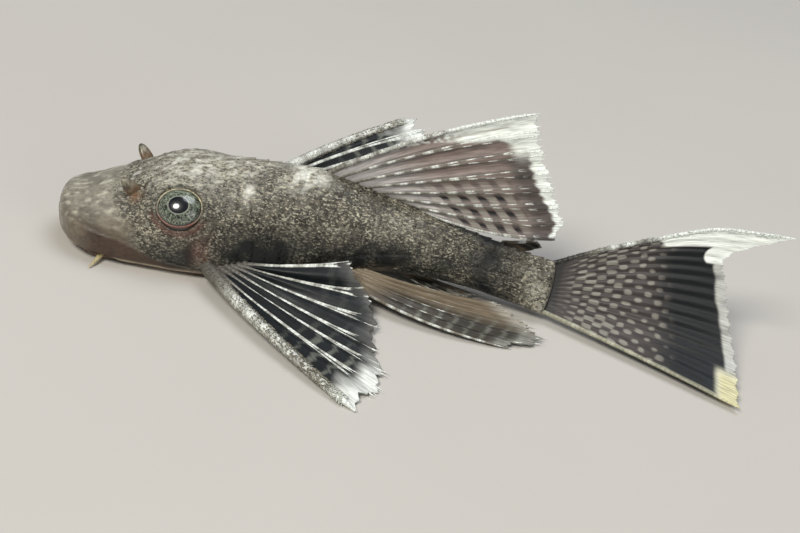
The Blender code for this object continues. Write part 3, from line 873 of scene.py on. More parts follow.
def barbel_material():
    """Soft, moist skin of the barbels: ochre to cream."""
    material, tree, shader = new_material("moist_barbel_skin", 0.4, coat=0.2)
    pale = mottle(tree, 0.0003)
    dress(tree, shader, layered(tree, linear("#8f7f52"), [(pale, linear("#e8ddb0"))]))
    return material


def make_mouth():
    """The sucking disc, with its papillae and opening."""
    disc = primitive("mouth", "uv_sphere", segments=144, ring_count=110, radius=1)
    own = points_of(disc)
    share = np.arccos(np.clip(own[:, 2], -1, 1)) / math.pi
    turn = np.arctan2(own[:, 1], own[:, 0])
    steps = np.linspace(0, 1, len(MOUTH_PROFILE))
    radius, height = (curve(np.column_stack([steps, part]), share) for part in zip(*MOUTH_PROFILE))
    radius = np.maximum(radius, 0)
    rim = near(radius, 3.6, 0.3)
    radius = radius * (1 + 0.012 * rim * np.sin(turn * 9) + 0.006 * rim * np.sin(turn * 23 + 1))
    x = MOUTH_X + radius * MOUTH_RATIO * np.cos(turn)
    y = radius * np.sin(turn)
    under = ramp(share, 0.52, 0.60)
    opening = 1 - ramp(np.hypot((x - MOUTH_X) / 0.42, y / 1.5), 0.75, 1.1)
    height = height + 0.55 * opening * under
    around = np.cos(turn * np.round(radius * 2 * math.pi / 0.32))
    papilla = under * ramp(np.cos(2 * math.pi * radius / 0.30) * around, 0.1, 0.8)
    papilla = papilla * (1 - opening) * ramp(radius, 1.1, 1.4)
    height = np.where(share > 0.5, np.maximum(height + 0.09 * under - 0.09 * papilla, 0.0), height)
    set_points(disc, np.stack([x, y, height], -1))
    set_marks(disc, {"papilla": papilla, "throat": opening * under})
    finish_piece(disc, lip_material(), ("mouth_disc",))


def make_teeth():
    """Two rows of teeth on each side of the mouth's opening."""
    roots, leans = [], []
    for ahead, side, tooth in itertools.product((-1, 1), (-1, 1), range(TEETH)):
        along = 0.12 + 0.062 * tooth
        roots.append((MOUTH_X + ahead * (0.34 - 0.10 * along), side * along, 0.42))
        leans.append((-0.5 * ahead, 0.0, -1.0))
    across = np.tile([0.0, 1.0, 0.0], (len(roots), 1))
    teeth = spikes("teeth", np.array(roots), unit(np.array(leans)), across,
                   np.full(len(roots), TOOTH_LENGTH), sides=6)
    finish_piece(teeth, tooth_material())


def make_barbels():
    """A feeler at each corner of the mouth."""
    material = barbel_material()
    w = np.linspace(0, 1, RAY_RINGS)
    radii = 0.20 * (1 - w) ** 0.5 * (1 - 0.45 * w) + 0.03
    flat = np.tile([0.0, 0.0, 1.0], (RAY_RINGS, 1))
    for side, name in SIDES:
        path = (np.array([MOUTH_X - 0.6, side * 3.62, 0.42])
                + np.stack([-0.12 * w - 0.35 * w**2, side * BARBEL_LENGTH * w,
                            -0.16 * w - 0.10 * w**2], -1))
        barbel = tubes("feeler_" + name, [path], [radii], [flat], {}, [(0.5, 0.01)])
        finish_piece(barbel, material, ("barbel_" + name,))


def tube_pattern():
    """A closed tube of a few sides and many rings, up +Z from 0 to 1."""
    tube = primitive("tube", "cylinder", vertices=RAY_SIDES, radius=1, depth=1,
                     location=(0, 0, 0.5), end_fill_type="TRIFAN")
    activate(tube)
    bpy.ops.object.transform_apply(location=True)
    bpy.ops.object.mode_set(mode="EDIT")
    bpy.ops.mesh.select_mode(type="EDGE")
    bpy.ops.mesh.select_all(action="DESELECT")
    bpy.ops.object.mode_set(mode="OBJECT")
    for edge in tube.data.edges:
        a, b = (tube.data.vertices[v].co for v in edge.vertices)
        edge.select = abs(a.z - b.z) > 0.5
    bpy.ops.object.mode_set(mode="EDIT")
    bpy.ops.mesh.subdivide(number_cuts=RAY_RINGS - 2)
    bpy.ops.mesh.select_mode(type="VERT")
    bpy.ops.object.mode_set(mode="OBJECT")
    return tube


def tubes(name, paths, radii, flats, marks, columns):
    """Many tapered tubes, each along a path, with its radii and the direction of its flat side.

    columns holds the middle and width of each tube's strip on the UV map.
    """
    pattern = tube_pattern()
    own = points_of(pattern)
    ring = np.clip(np.round(own[:, 2] * (RAY_RINGS - 1)).astype(int), 0, RAY_RINGS - 1)
    places = []
    for path, radius, flat in zip(paths, radii, flats):
        way = unit(np.gradient(path, axis=0))
        across = unit(np.cross(flat, way))
        rise = np.cross(way, across)
        reach = radius[ring][:, None]
        places.append(path[ring] + reach * (across[ring] * own[:, 0:1]
                                            + rise[ring] * own[:, 1:2] * RAY_FLATNESS))
    places = np.array(places)
    places[..., 2] = np.maximum(places[..., 2], 0.01)
    marks = {key: np.array([m[ring] for m in value]).ravel() for key, value in marks.items()}
    turn = np.arctan2(own[:, 1], own[:, 0]) / (2 * math.pi)
    unwrap = np.array([np.stack([middle + turn * width, own[:, 2]], -1)
                       for middle, width in columns])
    return repeated(name, pattern, places, marks, unwrap)


@dataclass
class FinShape:
    """Where a fin lies. Share q runs from its first ray to its last, w from root to margin.

    margin holds places along the fin's edge, and bow how far the middle of its first and last
    rays is lifted, as shares of the standard length, and so is hump, a rise near the tip of the
    first ray. thick and spine are radii of rays and of stout edge rays, and pleat the web's
    depth between rays, in mm. scallop and fray are shares of the rays' length, and spread is
    how far branches part, in gaps between rays.
    """

    name: str
    rays: int
    root: object
    margin: list
    bow: tuple
    marks: object
    spines: tuple = (True, False)
    scallop: float = 0.03
    thick: float = 0.11
    spine: float = 0.2
    fray: float = 0.0
    spread: float = 0.22
    pleat: float = 0.10
    hump: float = 0.0

    def at(self, q, w):
        """Points of the fin's middle surface, in mm."""
        q, w = np.broadcast_arrays(np.asarray(q, float), np.asarray(w, float))
        steps = np.linspace(0, 1, len(self.margin))
        rim = np.stack([curve(np.column_stack([steps, part]), q)
                        for part in (np.array(self.margin) * LENGTH).T], -1)
        base = self.root(q, 0.0)
        reach = np.linalg.norm(rim - base, axis=-1)
        sunk = self.root(q, np.minimum(w, 0) * reach)
        first, last = np.array(self.bow) * LENGTH
        bow = first + (last - first) * q[..., None]
        w = np.maximum(w, 0)[..., None]
        place = sunk + (rim - base) * w + bow * 4 * w * (1 - w)
        place[..., 2] += (self.hump * LENGTH * near(w[..., 0], 0.66, 0.17)
                          * np.clip(1 - 7 * q, 0, 1))
        return place

    def facing(self, q, w):
        """Direction out of the fin's flat side."""
        step = 0.01
        across = self.at(np.minimum(q + step, 1), w) - self.at(np.maximum(q - step, 0), w)
        along = self.at(q, w + step) - self.at(q, w - step)
        return unit(np.cross(across, along))

    def length(self, q):
        return np.linalg.norm(self.at(q, 1.0) - self.at(q, 0.0), axis=-1)


def body_root(first, last, degrees):
    """Root line of a fin on the body, from one (place, angle) to another."""
    def root(q, sink):
        return body(first + (last - first) * q, degrees[0] + (degrees[1] - degrees[0]) * q,
                    FIN_ROOT_LIFT + sink)
    return root


def tail_root(q, sink):
    """Root line of the tail fin, down the rear end of the body."""
    centre, along, _, top = section(1.0)
    height = (TAIL_ROOT_TOP + (TAIL_ROOT_BOTTOM - TAIL_ROOT_TOP) * q) * LENGTH
    ahead = 0.1 + sink
    return (centre + along * np.asarray(ahead, float)[..., None]
            + top * np.asarray(height, float)[..., None])


def dashes(c, d, period, slant=0.0, duty=0.1):
    """Marks repeated along the rays: c counts rays, d is the distance from the root in mm."""
    ray = np.round(c)
    phase = NOISE_TABLE[(ray.astype(int) * 37 + 11) & 65535] * 0.7 + slant * ray
    stretch = 1 + 0.12 * NOISE_TABLE[(ray.astype(int) * 53 + 5) & 65535]
    return ramp(np.cos(2 * math.pi * (d / (period * stretch) + phase)), duty - 0.3, duty + 0.35)


def in_gap(c, middle, reach):
    """Share of a mark that lies at the same place in each gap between rays."""
    return near(c - np.floor(c), middle, reach)


def dorsal_marks(c, w, d, point):
    """White front and rear edges, pale dashes on the rays, dark spots low at the rear."""
    blur = noise(point, 0.8, 21)
    grain = noise(point, 0.22, 22)
    reach = 0.25 + 0.75 * ramp(w, 0.35, 0.75) + 0.6 * ramp(w, 0.78, 0.9)
    lead = ramp(w, 0.20, 0.45) * (1 - ramp(c, reach - 0.08, reach + 0.12))
    lead = lead * np.maximum(ramp(w, 0.50, 0.66), ramp(grain, -0.35, 0.35))
    line = near(c, 0.5, 0.05) * ramp(w, 0.45, 0.6) * (1 - ramp(w, 0.86, 0.96))
    rim = 0.915 + 0.035 * ramp(c, 3, 7) + 0.008 * np.cos(4 * math.pi * c) + 0.006 * blur
    seam = ramp(w, rim - 0.012, rim + 0.012) * (1 - ramp(c, 6.75, 6.95))
    tip = (1 - ramp(c, 1.4, 2.7)) * ramp(w, 0.82, 0.88)
    white = np.maximum.reduce([lead * (1 - 0.75 * line), seam, tip])
    number = np.floor(c).astype(int)
    phase = NOISE_TABLE[(number * 41 + 9) & 65535] * 0.5 + 0.5 * number
    beat = np.cos(2 * math.pi * (d / 1.25 + phase)) + 0.60 * noise(point, 0.5, 27)
    low = ramp(c, 2.4, 4.6) * ramp(w, 0.20, 0.34) * (1 - ramp(w, 0.70, 0.86))
    middle = in_gap(c, 0.5, 0.34)
    spots = low * ramp(beat, 0.0, 0.45) * middle
    band = ramp(w, 0.74, 0.86) * ramp(c, 1.2, 2.4)
    sides = np.maximum(in_gap(c, 0.16, 0.06), in_gap(c, 0.84, 0.06))
    sides = 0.55 * sides * ramp(w, 0.08, 0.2) * (1 - low)
    dark = np.maximum.reduce([spots, 0.62 * band, sides])
    pale = 0.7 * low * ramp(-beat, 0.0, 0.7) * (0.35 + 0.65 * middle)
    dash = dashes(c, d, 1.15, slant=0.12, duty=0.1) * ramp(w, 0.06, 0.16)
    dash = dash * (1 - ramp(w, 0.80, 0.9))
    dash = np.maximum(dash * (1 - 0.35 * low), 0.5 * ramp(c, 6.6, 6.9) * (1 - ramp(w, 0.5, 0.7)))
    return {"white": white, "pale": pale * (1 - seam), "dark": dark * (1 - white), "dash": dash,
            "soft": 1 - ramp(w, 0.12, 0.45),
            "shade": np.maximum(0.75 * band, 0.35 * low) * (1 - white)}


def caudal_marks(c, w, d, point):
    """Dark root, rows of pale dots, a black rear band, and pale upper, rear and lower edges."""
    blur = noise(point, 0.7, 23)
    fine = noise(point, 0.3, 24)
    reach = (0.40 + 0.25 * ramp(w, 0.25, 0.45) + 1.45 * ramp(w, 0.44, 0.60)
             + 1.9 * ramp(w, 0.82, 0.90))
    top = ramp(w, 0.12, 0.30) * (1 - ramp(c, reach - 0.15, reach + 0.12))
    top = top * np.maximum(ramp(w, 0.34, 0.48), ramp(fine, -0.3, 0.4))
    seam = 0.50 * ramp(w + 0.008 * blur, 0.925, 0.945) * ramp(blur, -1.8, 0.0)
    low = ramp(c, 14.72, 14.9)
    low_tip = ramp(c, 12.4, 13.4) * ramp(w, 0.87, 0.92)
    white = np.maximum.reduce([top, seam, 0.15 * low, 0.8 * low_tip])
    zone = ramp(w, 0.08, 0.20) * (1 - ramp(w, 0.52, 0.70))
    shift = 0.14 * noise(point, 0.9, 28)
    checks = np.cos(2 * math.pi * (0.74 * c + shift)) * np.cos(2 * math.pi * (d / 1.36 + shift))
    dots = zone * ramp(checks + 0.40 * blur + 0.3 * (1 - ramp(w, 0.2, 0.45)), 0.25, 0.75)
    dark = np.maximum(0.80 + 0.20 * ramp(w, 0.50, 0.72), 0.92 * (1 - ramp(w, 0.05, 0.16)))
    dark = dark * (1 - dots)
    return {"white": white, "pale": 0.8 * dots * (1 - white), "dark": dark * (1 - white),
            "cream": np.maximum(low_tip, 0.3 * low), "shade": dark * (1 - white)}


def paired_marks(c, w, d, point):
    """Blue-black web between pale rays with bright dashes, whitest toward the tips."""
    blur = noise(point, 0.9, 25)
    front = 1 - ramp(c, 1.2, 2.8)
    tip = ramp(w + 0.05 * blur, 0.84, 0.97) * (0.05 + 0.75 * front)
    dash = dashes(c, d, 1.35, slant=0.23, duty=-0.2) * ramp(w, 0.16, 0.36)
    dash = np.clip(dash + 0.35 * ramp(w, 0.10, 0.30), 0, 1)
    beat = np.cos(2 * math.pi * d / 1.3 + 1.4 * np.round(c)) + 0.4 * blur
    pale = 0.45 * ramp(beat, 0.45, 0.9) * ramp(w, 0.5, 0.7) * (0.15 + 0.85 * front)
    dark = ramp(w, 0.0, 0.10) * (1 - 0.25 * ramp(w, 0.92, 1.0))
    return {"white": tip, "pale": pale * (1 - tip), "dark": dark * (1 - tip), "dash": dash,
            "shade": 0.5 * (1 - ramp(w, 0.05, 0.25))}


def pelvic_marks(c, w, d, point):
    """Brown clear web near the body, darker toward the outer rays, with rows of dashes."""
    blur = noise(point, 0.9, 26)
    outer = 1 - ramp(c, 1.6, 3.2)
    tip = 0.18 * ramp(w + 0.05 * blur, 0.84, 0.98)
    dash = dashes(c, d, 1.0, slant=0.18) * ramp(w, 0.2, 0.4) * (0.30 + 0.70 * outer)
    beat = np.cos(2 * math.pi * d / 1.1 + 1.1 * np.round(c)) + 0.5 * blur
    pale = 0.40 * ramp(beat, 0.35, 0.85) * outer * ramp(w, 0.3, 0.5)
    dark = (0.15 + 0.70 * outer) * ramp(w, 0.1, 0.35) * (1 - 0.6 * tip)
    return {"white": tip, "pale": pale, "dark": dark * (1 - tip), "dash": dash,
            "brown": np.ones_like(w), "shade": 0.45 * outer}


def fin_shapes():
    """All eight fins, with their roots and margins as shares of the standard length."""
    shapes = [
        FinShape("dorsal_fin", 8, body_root(0.53, 0.715, (0, 0)),
                 [(0.923, 0.015, 0.401), (0.932, 0.010, 0.362), (0.946, 0.004, 0.324),
                  (0.963, -0.002, 0.288), (0.979, -0.008, 0.255), (0.995, -0.013, 0.222),
                  (1.011, -0.026, 0.191), (0.997, -0.046, 0.162)],
                 ((-0.005, 0, 0.016), (0, -0.026, -0.004)), thick=0.12, spine=0.19, fray=0.012,
                 marks=dorsal_marks),
        FinShape("adipose_fin", 2, body_root(0.895, 0.940, (0, 0)),
                 [(0.965, -0.024, 0.143), (0.978, -0.031, 0.134)],
                 ((0, 0, 0), (0, 0, 0)), scallop=0.0, thick=0.06, spine=0.16, marks=pelvic_marks),
        FinShape("anal_fin", 4, body_root(0.700, 0.755, (176, 176)),
                 [(0.790, -0.060, 0.009), (0.835, -0.060, 0.010), (0.870, -0.044, 0.010)],
                 ((0, 0, 0), (0, 0, 0)), thick=0.06, spine=0.10, marks=pelvic_marks),
        FinShape("caudal_fin", 16, tail_root,
                 [(1.45, -0.090, 0.267), (1.335, -0.085, 0.205), (1.339, -0.114, 0.152),
                  (1.355, -0.158, 0.094), (1.371, -0.222, 0.040), (1.367, -0.322, 0.012)],
                 ((0, 0.004, 0.030), (0, 0.004, 0.002)), spines=(True, True), scallop=0.02,
                 thick=0.055, spine=0.18, fray=0.006, pleat=0.035, hump=0.012,
                 marks=caudal_marks)]
    rims = {("pectoral", -1): [(0.653, -0.493, 0.005), (0.697, -0.395, 0.006),
                               (0.675, -0.29, 0.008), (0.664, -0.19, 0.028),
                               (0.600, -0.128, 0.092)],
            ("pectoral", 1): [(0.70, 0.40, 0.18), (0.735, 0.30, 0.17), (0.70, 0.20, 0.14),
                              (0.60, 0.125, 0.10)],
            ("pelvic", -1): [(0.93, -0.218, 0.007), (1.00, -0.185, 0.009),
                             (0.955, -0.145, 0.026), (0.90, -0.115, 0.040)],
            ("pelvic", 1): [(0.90, 0.165, 0.008), (0.955, 0.140, 0.009), (0.92, 0.110, 0.016),
                            (0.87, 0.092, 0.024)]}
    for side, name in SIDES:
        shapes.append(FinShape(
            "pectoral_fin_" + name, 7, body_root(0.325, 0.395, (side * 92, side * 88)),
            rims["pectoral", side], ((-0.02, 0, 0.010), (0, side * 0.012, 0)), thick=0.19,
            spine=0.54, scallop=0.05, fray=0.03, spread=0.14, pleat=0.15, marks=paired_marks))
        shapes.append(FinShape(
            "pelvic_fin_" + name, 6, body_root(0.575, 0.635, (side * 122, side * 128)),
            rims["pelvic", side], ((-0.01, side * 0.03, 0), (0, side * 0.01, 0)), thick=0.10,
            spine=0.15, scallop=0.06, fray=0.03, marks=pelvic_marks))
    return shapes


def membrane_material(settings):
    """Fin web: thin wet skin, smoky and a little clear, with fine lines along the rays.

    The lines come from a noise stretched along the rays, about eleven to a gap.
    """
    material, tree, shader = new_material("wet_fin_web", 0.5, ior=1.34, coat=0.03)
    shader.inputs["Alpha"].default_value = settings.web_alpha
    lie = add(tree, "UVMap", uv_map="rays").outputs["UV"]
    stretched = add(tree, "Mapping", {"Vector": lie, "Scale": (11.0, 0.7, 1.0)}).outputs[0]
    lines = mottle(tree, 1.0, stretched)
    base = layered(tree, settings.web_tone, [
        ("soft", settings.soft_tone),
        ("brown", linear("#7c6f5b")),
        ("dark", settings.dark_web_tone),
        ("pale", linear("#878a80")),
        ("white", settings.edge_tone),
        ("cream", linear("#cfcba2"))])
    dress(tree, shader, base, between(tree, lines, 0.3, 0.7, 0.62, 1.35), lines)
    return material


def ray_material(settings):
    """Fin rays: jointed bone under skin, with cream dashes and fine rings at the joints."""
    material, tree, shader = new_material("jointed_fin_ray_bone", 0.45, ior=1.45, coat=0.05)
    turns = calculate(tree, "MULTIPLY", mark(tree, "distance"), 2 * math.pi / SEGMENT_LENGTH)
    wave = calculate(tree, "COSINE", turns)
    base = layered(tree, settings.ray_tone, [
        ("brown", linear("#8a7f6c")),
        ("shade", linear("#131617")),
        ("pale", linear("#a3a598")),
        ("dash", settings.dash_tone),
        ("white", settings.edge_tone),
        ("cream", linear("#cfcba2")),
        (between(tree, wave, 0.75, 0.95, 0.0, 0.35), linear("#57544b"))])
    grain = between(tree, mottle(tree, 0.00012), 0.3, 0.7, 0.7, 1.25)
    dress(tree, shader, base, grain, wave, 0.35)
    return material


def make_membrane(fin, material):
    """The fin's web: a fine grid laid on the fin, pleated between rays and given a thickness."""
    gaps = fin.rays - 1
    web = primitive(fin.name + "_web", "grid", x_subdivisions=gaps * GRID_PER_RAY_GAP,
                    y_subdivisions=MEMBRANE_ROWS, size=2)
    own = points_of(web)
    q, v = (own[:, 0] + 1) / 2, (own[:, 1] + 1) / 2
    c = q * gaps
    hollow = 0.5 - 0.5 * np.cos(2 * math.pi * c)
    lobes = 0.5 - 0.5 * np.cos(2 * math.pi * (3 * c))
    reach = 1 - fin.scallop * (0.6 * hollow + 0.4 * lobes)
    inset = MEMBRANE_SUNK / fin.length(q)
    w = -inset + v * (reach + inset)
    point = fin.at(q, w)
    pleat = np.cos(2 * math.pi * c) * ramp(w, 0.0, 0.3) * (1 - 0.5 * ramp(w, 0.8, 1.0))
    point = point + fin.facing(q, w) * (fin.pleat * pleat)[:, None]
    point[:, 2] = np.maximum(point[:, 2], FLOOR_CLEARANCE + MEMBRANE_THICKNESS / 2)
    set_points(web, point)
    d = w * fin.length(q)
    set_marks(web, fin.marks(c, w, d, point))
    set_unwrap(web, "rays", np.stack([c, d], -1))
    solid = web.modifiers.new("thickness", "SOLIDIFY")
    solid.thickness = MEMBRANE_THICKNESS * MM
    solid.offset = 0
    activate(web)
    bpy.ops.object.modifier_apply(modifier=solid.name)
    return finish_piece(web, material, (fin.name,))


def ray_courses(fin, ray):
    """A ray's stem and branches: where each starts and ends, its place across, its radius."""
    last = fin.rays - 1
    fork = 0.42 + 0.06 * NOISE_TABLE[ray * 17 + 3]
    second = 0.74 + 0.05 * NOISE_TABLE[ray * 29 + 4]

    def place(a, b):
        return lambda w: (ray + a * fin.spread * np.clip((w - fork) / (1 - fork), 0, 1)
                          + b * fin.spread / 2 * np.clip((w - second) / (1 - second), 0, 1))

    if (ray == 0 and fin.spines[0]) or (ray == last and fin.spines[1]):
        return [(0.0, 1.0, place(0, 0), fin.spine)]
    courses = [(0.0, fork + 0.01, place(0, 0), fin.thick)]
    for a in (-1, 1):
        courses.append((fork - 0.01, second + 0.01, place(a, 0), fin.thick * 0.78))
        courses += [(second - 0.01, 1.0, place(a, b), fin.thick * 0.58) for b in (-1, 1)]
    return courses


def make_rays(fin, material):
    """The fin's rays: tapered tubes that branch twice on their way to the margin."""
    rng = np.random.default_rng(len(fin.name) + fin.rays)
    paths, radii, flats, columns = [], [], [], []
    marks = {}
    gaps = fin.rays - 1
    for ray in range(fin.rays):
        for number, (first, end, place, thick) in enumerate(ray_courses(fin, ray)):
            tip = end == 1.0
            w = np.linspace(first, end, RAY_RINGS)
            if first == 0.0:
                w = w - RAY_SUNK / fin.length(np.array(ray / gaps)) * (1 - w / end)
            if tip:
                w = w + fin.fray * rng.uniform(-0.6, 0.8) * ((w - first) / (end - first)) ** 2
            c = np.clip(place(w), 0, gaps)
            q = c / gaps
            facing = fin.facing(q, w)
            rise = fin.pleat * np.cos(2 * math.pi * c) * ramp(w, 0, 0.3)
            path = fin.at(q, w) + facing * rise[:, None]
            if tip and fin.fray > 0.02:
                path = path + facing * (rng.uniform(-0.25, 0.25) * ramp(w, 0.9, 1.05))[:, None]
            share = np.clip((w - first) / (end - first), 0, 1)
            radius = thick * (1 - (0.35 if thick < fin.spine else 0.5) * share)
            if tip:
                radius = radius * np.sqrt(np.clip((1 - share) * 12, 0.04, 1))
            path[:, 2] = np.maximum(path[:, 2], radius * RAY_FLATNESS + 0.03)
            d = w * fin.length(q)
            for key, value in {**fin.marks(c, w, d, path), "distance": d}.items():
                marks.setdefault(key, []).append(value)
            paths.append(path)
            radii.append(radius)
            flats.append(facing)
            columns.append(((ray + 0.08 + 0.12 * number) / fin.rays, 0.10 / fin.rays))
    rays = tubes(fin.name + "_rays", paths, radii, flats, marks, columns)
    return finish_piece(rays, material, (fin.name,))


def make_spine_granules(fins, settings):
    """Granules on the stout front rays, longer toward the tips of the pectoral spines."""
    rng = np.random.default_rng(5)
    parts = []
    for fin in fins:
        if fin.spine <= STOUT_SPINE:
            continue
        pectoral = "pectoral" in fin.name
        long = float(fin.length(np.array(0.0)))
        count = int(long * (110 if pectoral else 26))
        w = rng.uniform(0.02, 0.94, count)
        q = np.zeros(count)
        point = fin.at(q, w)
        facing = fin.facing(q, w)
        along = unit(fin.at(q, w + 0.01) - fin.at(q, w - 0.01))
        across = np.cross(along, facing)
        turn = rng.uniform(0, 2 * math.pi, count)
        out = facing * np.sin(turn)[:, None] * 0.8 + across * np.cos(turn)[:, None]
        reach = fin.spine * (1 - 0.5 * w)
        root = point + facing * 0.10 * ramp(w, 0, 0.3)[:, None] + out * reach[:, None] * 0.9
        grow = 1 + 1.3 * w**2 if pectoral else 1 + 0.2 * w
        own = fin.marks(q, w, w * long, point)
        parts.append((root, unit(unit(out) * 0.55 + along * 0.8), np.cross(along, out),
                      rng.uniform(0.9, 1.3, count) * grow * settings.granule_length / MM,
                      np.stack([q + 0.05, w * 0.9 + 0.05], -1),
                      np.maximum(own["white"], 0.30), 0.3 * own["shade"], own["white"]))
    root, lean, across, lengths, unwrap, pale, dark, white = map(np.concatenate, zip(*parts))
    marks = {"pale": pale, "dark": dark, "white": white}
    granules = spikes("spine_granules", root, lean, across, lengths, marks, unwrap)
    return finish_piece(granules, granule_material(settings))


def camera_matrix():
    """The camera's place and turn, in the model's frame."""
    e, a, roll = (math.radians(v) for v in (CAMERA_ELEVATION, CAMERA_AZIMUTH, CAMERA_ROLL))
    back = Vector((math.sin(a) * math.cos(e), -math.cos(a) * math.cos(e), math.sin(e)))
    level = Vector((math.cos(a), math.sin(a), 0))
    rise = back.cross(level)
    right = level * math.cos(roll) + rise * math.sin(roll)
    up = rise * math.cos(roll) - level * math.sin(roll)
    target = Vector(to_model(np.array(CAMERA_TARGET) * LENGTH))
    place = target + back * CAMERA_DISTANCE * LENGTH * MM
    return Matrix.Translation(place) @ Matrix((right, up, back)).transposed().to_4x4()


def floor_material(settings):
    """Matt painted board: a pale grey with a very faint unevenness."""
    material, tree, shader = new_material("matt_painted_board", 0.75)
    cloud = mottle(tree, 1 / 30)
    dress(tree, shader, layered(tree, settings.floor_tone, [(cloud, linear("#bdbab4"))]))
    return material


def make_stage(settings):
    """Pale floor, soft studio lights and the camera."""
    floor = primitive("floor", "plane", size=4)
    floor.data.materials.append(floor_material(settings))
    for name, place, size, power, colour in LIGHTS:
        bpy.ops.object.light_add(type="AREA", location=place)
        lamp = bpy.context.object
        lamp.name = name
        lamp.data.shape = "DISK"
        lamp.data.size = size
        lamp.data.energy = settings.key_power * power
        lamp.data.color = linear(colour)[:3]
        lamp.rotation_euler = (-Vector(place)).to_track_quat("-Z", "Y").to_euler()
    world = bpy.data.worlds.new("pale_studio")
    world.use_nodes = True
    background = world.node_tree.nodes["Background"]
    background.inputs["Color"].default_value = linear("#e8ebee")
    background.inputs["Strength"].default_value = settings.world_light
    bpy.context.scene.world = world
    bpy.context.scene.view_settings.view_transform = "Standard"
    bpy.ops.object.camera_add()
    camera = bpy.context.object
    camera.name = "photo_camera"
    camera.data.lens = CAMERA_LENS
    camera.data.sensor_width = 36
    camera.data.clip_start = 0.001
    camera.matrix_world = camera_matrix()
    bpy.context.scene.camera = camera


def tone(name, description, hex_colour):
    """A colour that a user may change."""
    return FloatVectorProperty(name=name, description=description, subtype="COLOR", size=4,
                               min=0, max=1, default=linear(hex_colour))


class PlecoBodySettings(bpy.types.PropertyGroup):
    """Colours and granules of the skin."""

    skin_tone: tone("Skin", "Taupe of the armoured skin", "#6f6a5c")
    dark_tone: tone("Blotches", "Dark olive brown between the taupe", "#2b2822")
    snout_tone: tone("Snout", "Smooth skin of the snout", "#858175")
    pale_tone: tone("Pale patches", "Patches on head, nape and tail root", "#bab8a9")
    belly_tone: tone("Belly", "Bare skin under the fish", "#b3a48e")
    # Painted shade as well as dark pigment: this colour darkens the hollow behind the pectoral fin
    # and the lower flank
    pigment_and_shade_tone: tone("Hollow", "Darkest skin, behind the pectoral fin", "#141716")
    # Partly painted glints: besides the granules' own pale, this colour stands for light glinting
    # off their tips
    granule_tone: tone("Granules", "Tips of the skin's granules", "#b9b4a0")
    granule_length: FloatProperty(name="Granule length", description="Length of a body granule",
                                  default=0.00011, min=0.00005, max=0.0004, precision=6,
                                  unit="LENGTH")
    granule_count: IntProperty(name="Granules", description="Granules spread over the armour",
                               default=26000, min=1000, max=28000)


class PlecoEyeSettings(bpy.types.PropertyGroup):
    """Colour of the eyes."""

    iris_tone: tone("Iris", "Silvery green of the iris", "#8a9482")


class PlecoFinSettings(bpy.types.PropertyGroup):
    """Colours of the fins."""

    web_tone: tone("Web", "Smoky brown of the web", "#877a74")
    soft_tone: tone("Web near the root", "Greyer web near a fin's root", "#b5b1af")
    dark_web_tone: tone("Dark web", "Near black of the spots and the rear bands", "#111619")
    edge_tone: tone("Edges", "White of the fins' edges", "#eef4ee")
    ray_tone: tone("Rays", "Grey brown of the rays", "#7f7c73")
    dash_tone: tone("Dashes", "Cream dashes on the rays", "#dfe3dc")
    web_alpha: FloatProperty(name="Web cover", description="How much of the view the web hides",
                             default=0.96, min=0.3, max=1.0, subtype="FACTOR")


class PlecoStageSettings(bpy.types.PropertyGroup):
    """Floor and lights."""

    floor_tone: tone("Floor", "Pale floor", "#c4c1bb")
    key_power: FloatProperty(name="Key light", description="Power of the key light in watts",
                             default=1.5, min=0.1, max=50, unit="POWER")
    world_light: FloatProperty(name="Room light", description="Strength of the pale surroundings",
                               default=0.17, min=0, max=2)


class PLECO_OT_skin(bpy.types.Operator):
    """Make the skin over head, trunk and tail"""

    bl_idname = "pleco.skin"
    bl_label = "Skin"

    def execute(self, context):
        make_skin(context.scene.pleco_body)
        return {"FINISHED"}


class PLECO_OT_granules(bpy.types.Operator):
    """Make the granules that cover the armour"""

    bl_idname = "pleco.granules"
    bl_label = "Granules"

    def execute(self, context):
        make_granules(context.scene.pleco_body)
        return {"FINISHED"}


class PLECO_OT_eyes(bpy.types.Operator):
    """Make both eyeballs"""

    bl_idname = "pleco.eyes"
    bl_label = "Eyes"

    def execute(self, context):
        make_eyes(context.scene.pleco_eye)
        return {"FINISHED"}


class PLECO_OT_nostrils(bpy.types.Operator):
    """Make the nostrils' standing flaps"""

    bl_idname = "pleco.nostrils"
    bl_label = "Nostril flaps"

    def execute(self, context):
        make_nostrils()
        return {"FINISHED"}


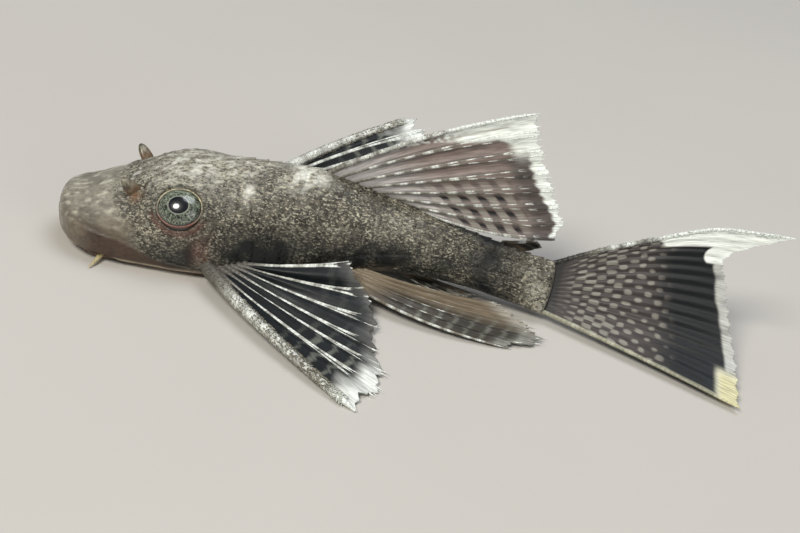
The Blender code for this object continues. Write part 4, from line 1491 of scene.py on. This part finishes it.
class PLECO_OT_mouth(bpy.types.Operator):
    """Make the mouth disc, its teeth and the barbels"""

    bl_idname = "pleco.mouth"
    bl_label = "Mouth"

    def execute(self, context):
        make_mouth()
        make_teeth()
        make_barbels()
        return {"FINISHED"}


class PLECO_OT_fins(bpy.types.Operator):
    """Make the web and the rays of every fin, and the granules on the stout rays"""

    bl_idname = "pleco.fins"
    bl_label = "Fins"

    def execute(self, context):
        settings = context.scene.pleco_fin
        web = membrane_material(settings)
        bone = ray_material(settings)
        fins = fin_shapes()
        for fin in fins:
            make_membrane(fin, web)
            make_rays(fin, bone)
        make_spine_granules(fins, context.scene.pleco_body)
        return {"FINISHED"}


class PLECO_OT_stage(bpy.types.Operator):
    """Make the floor, the lights and the camera"""

    bl_idname = "pleco.stage"
    bl_label = "Stage"

    def execute(self, context):
        make_stage(context.scene.pleco_stage)
        return {"FINISHED"}


OPERATORS = (PLECO_OT_skin, PLECO_OT_granules, PLECO_OT_eyes, PLECO_OT_nostrils, PLECO_OT_mouth,
             PLECO_OT_fins, PLECO_OT_stage)
GROUPS = {"pleco_body": PlecoBodySettings, "pleco_eye": PlecoEyeSettings,
          "pleco_fin": PlecoFinSettings, "pleco_stage": PlecoStageSettings}


class PLECO_PT_panel(bpy.types.Panel):
    """Lists the pieces and their settings"""

    bl_idname = "PLECO_PT_panel"
    bl_label = "Bristlenose Pleco"
    bl_space_type = "VIEW_3D"
    bl_region_type = "UI"
    bl_category = "Pleco"

    def draw(self, context):
        layout = self.layout
        for operator in OPERATORS:
            layout.operator(operator.bl_idname)
        for name, group in GROUPS.items():
            box = layout.box()
            for value in group.__annotations__:
                box.prop(getattr(context.scene, name), value)


def register():
    for kind in (*GROUPS.values(), *OPERATORS, PLECO_PT_panel):
        bpy.utils.register_class(kind)
    for name, group in GROUPS.items():
        setattr(bpy.types.Scene, name, PointerProperty(type=group))


def unregister():
    for name in GROUPS:
        delattr(bpy.types.Scene, name)
    for kind in reversed((*GROUPS.values(), *OPERATORS, PLECO_PT_panel)):
        bpy.utils.unregister_class(kind)


def main():
    register()
    for operator in OPERATORS:
        family, name = operator.bl_idname.split(".")
        getattr(getattr(bpy.ops, family), name)()


if __name__ == "__main__":
    main()
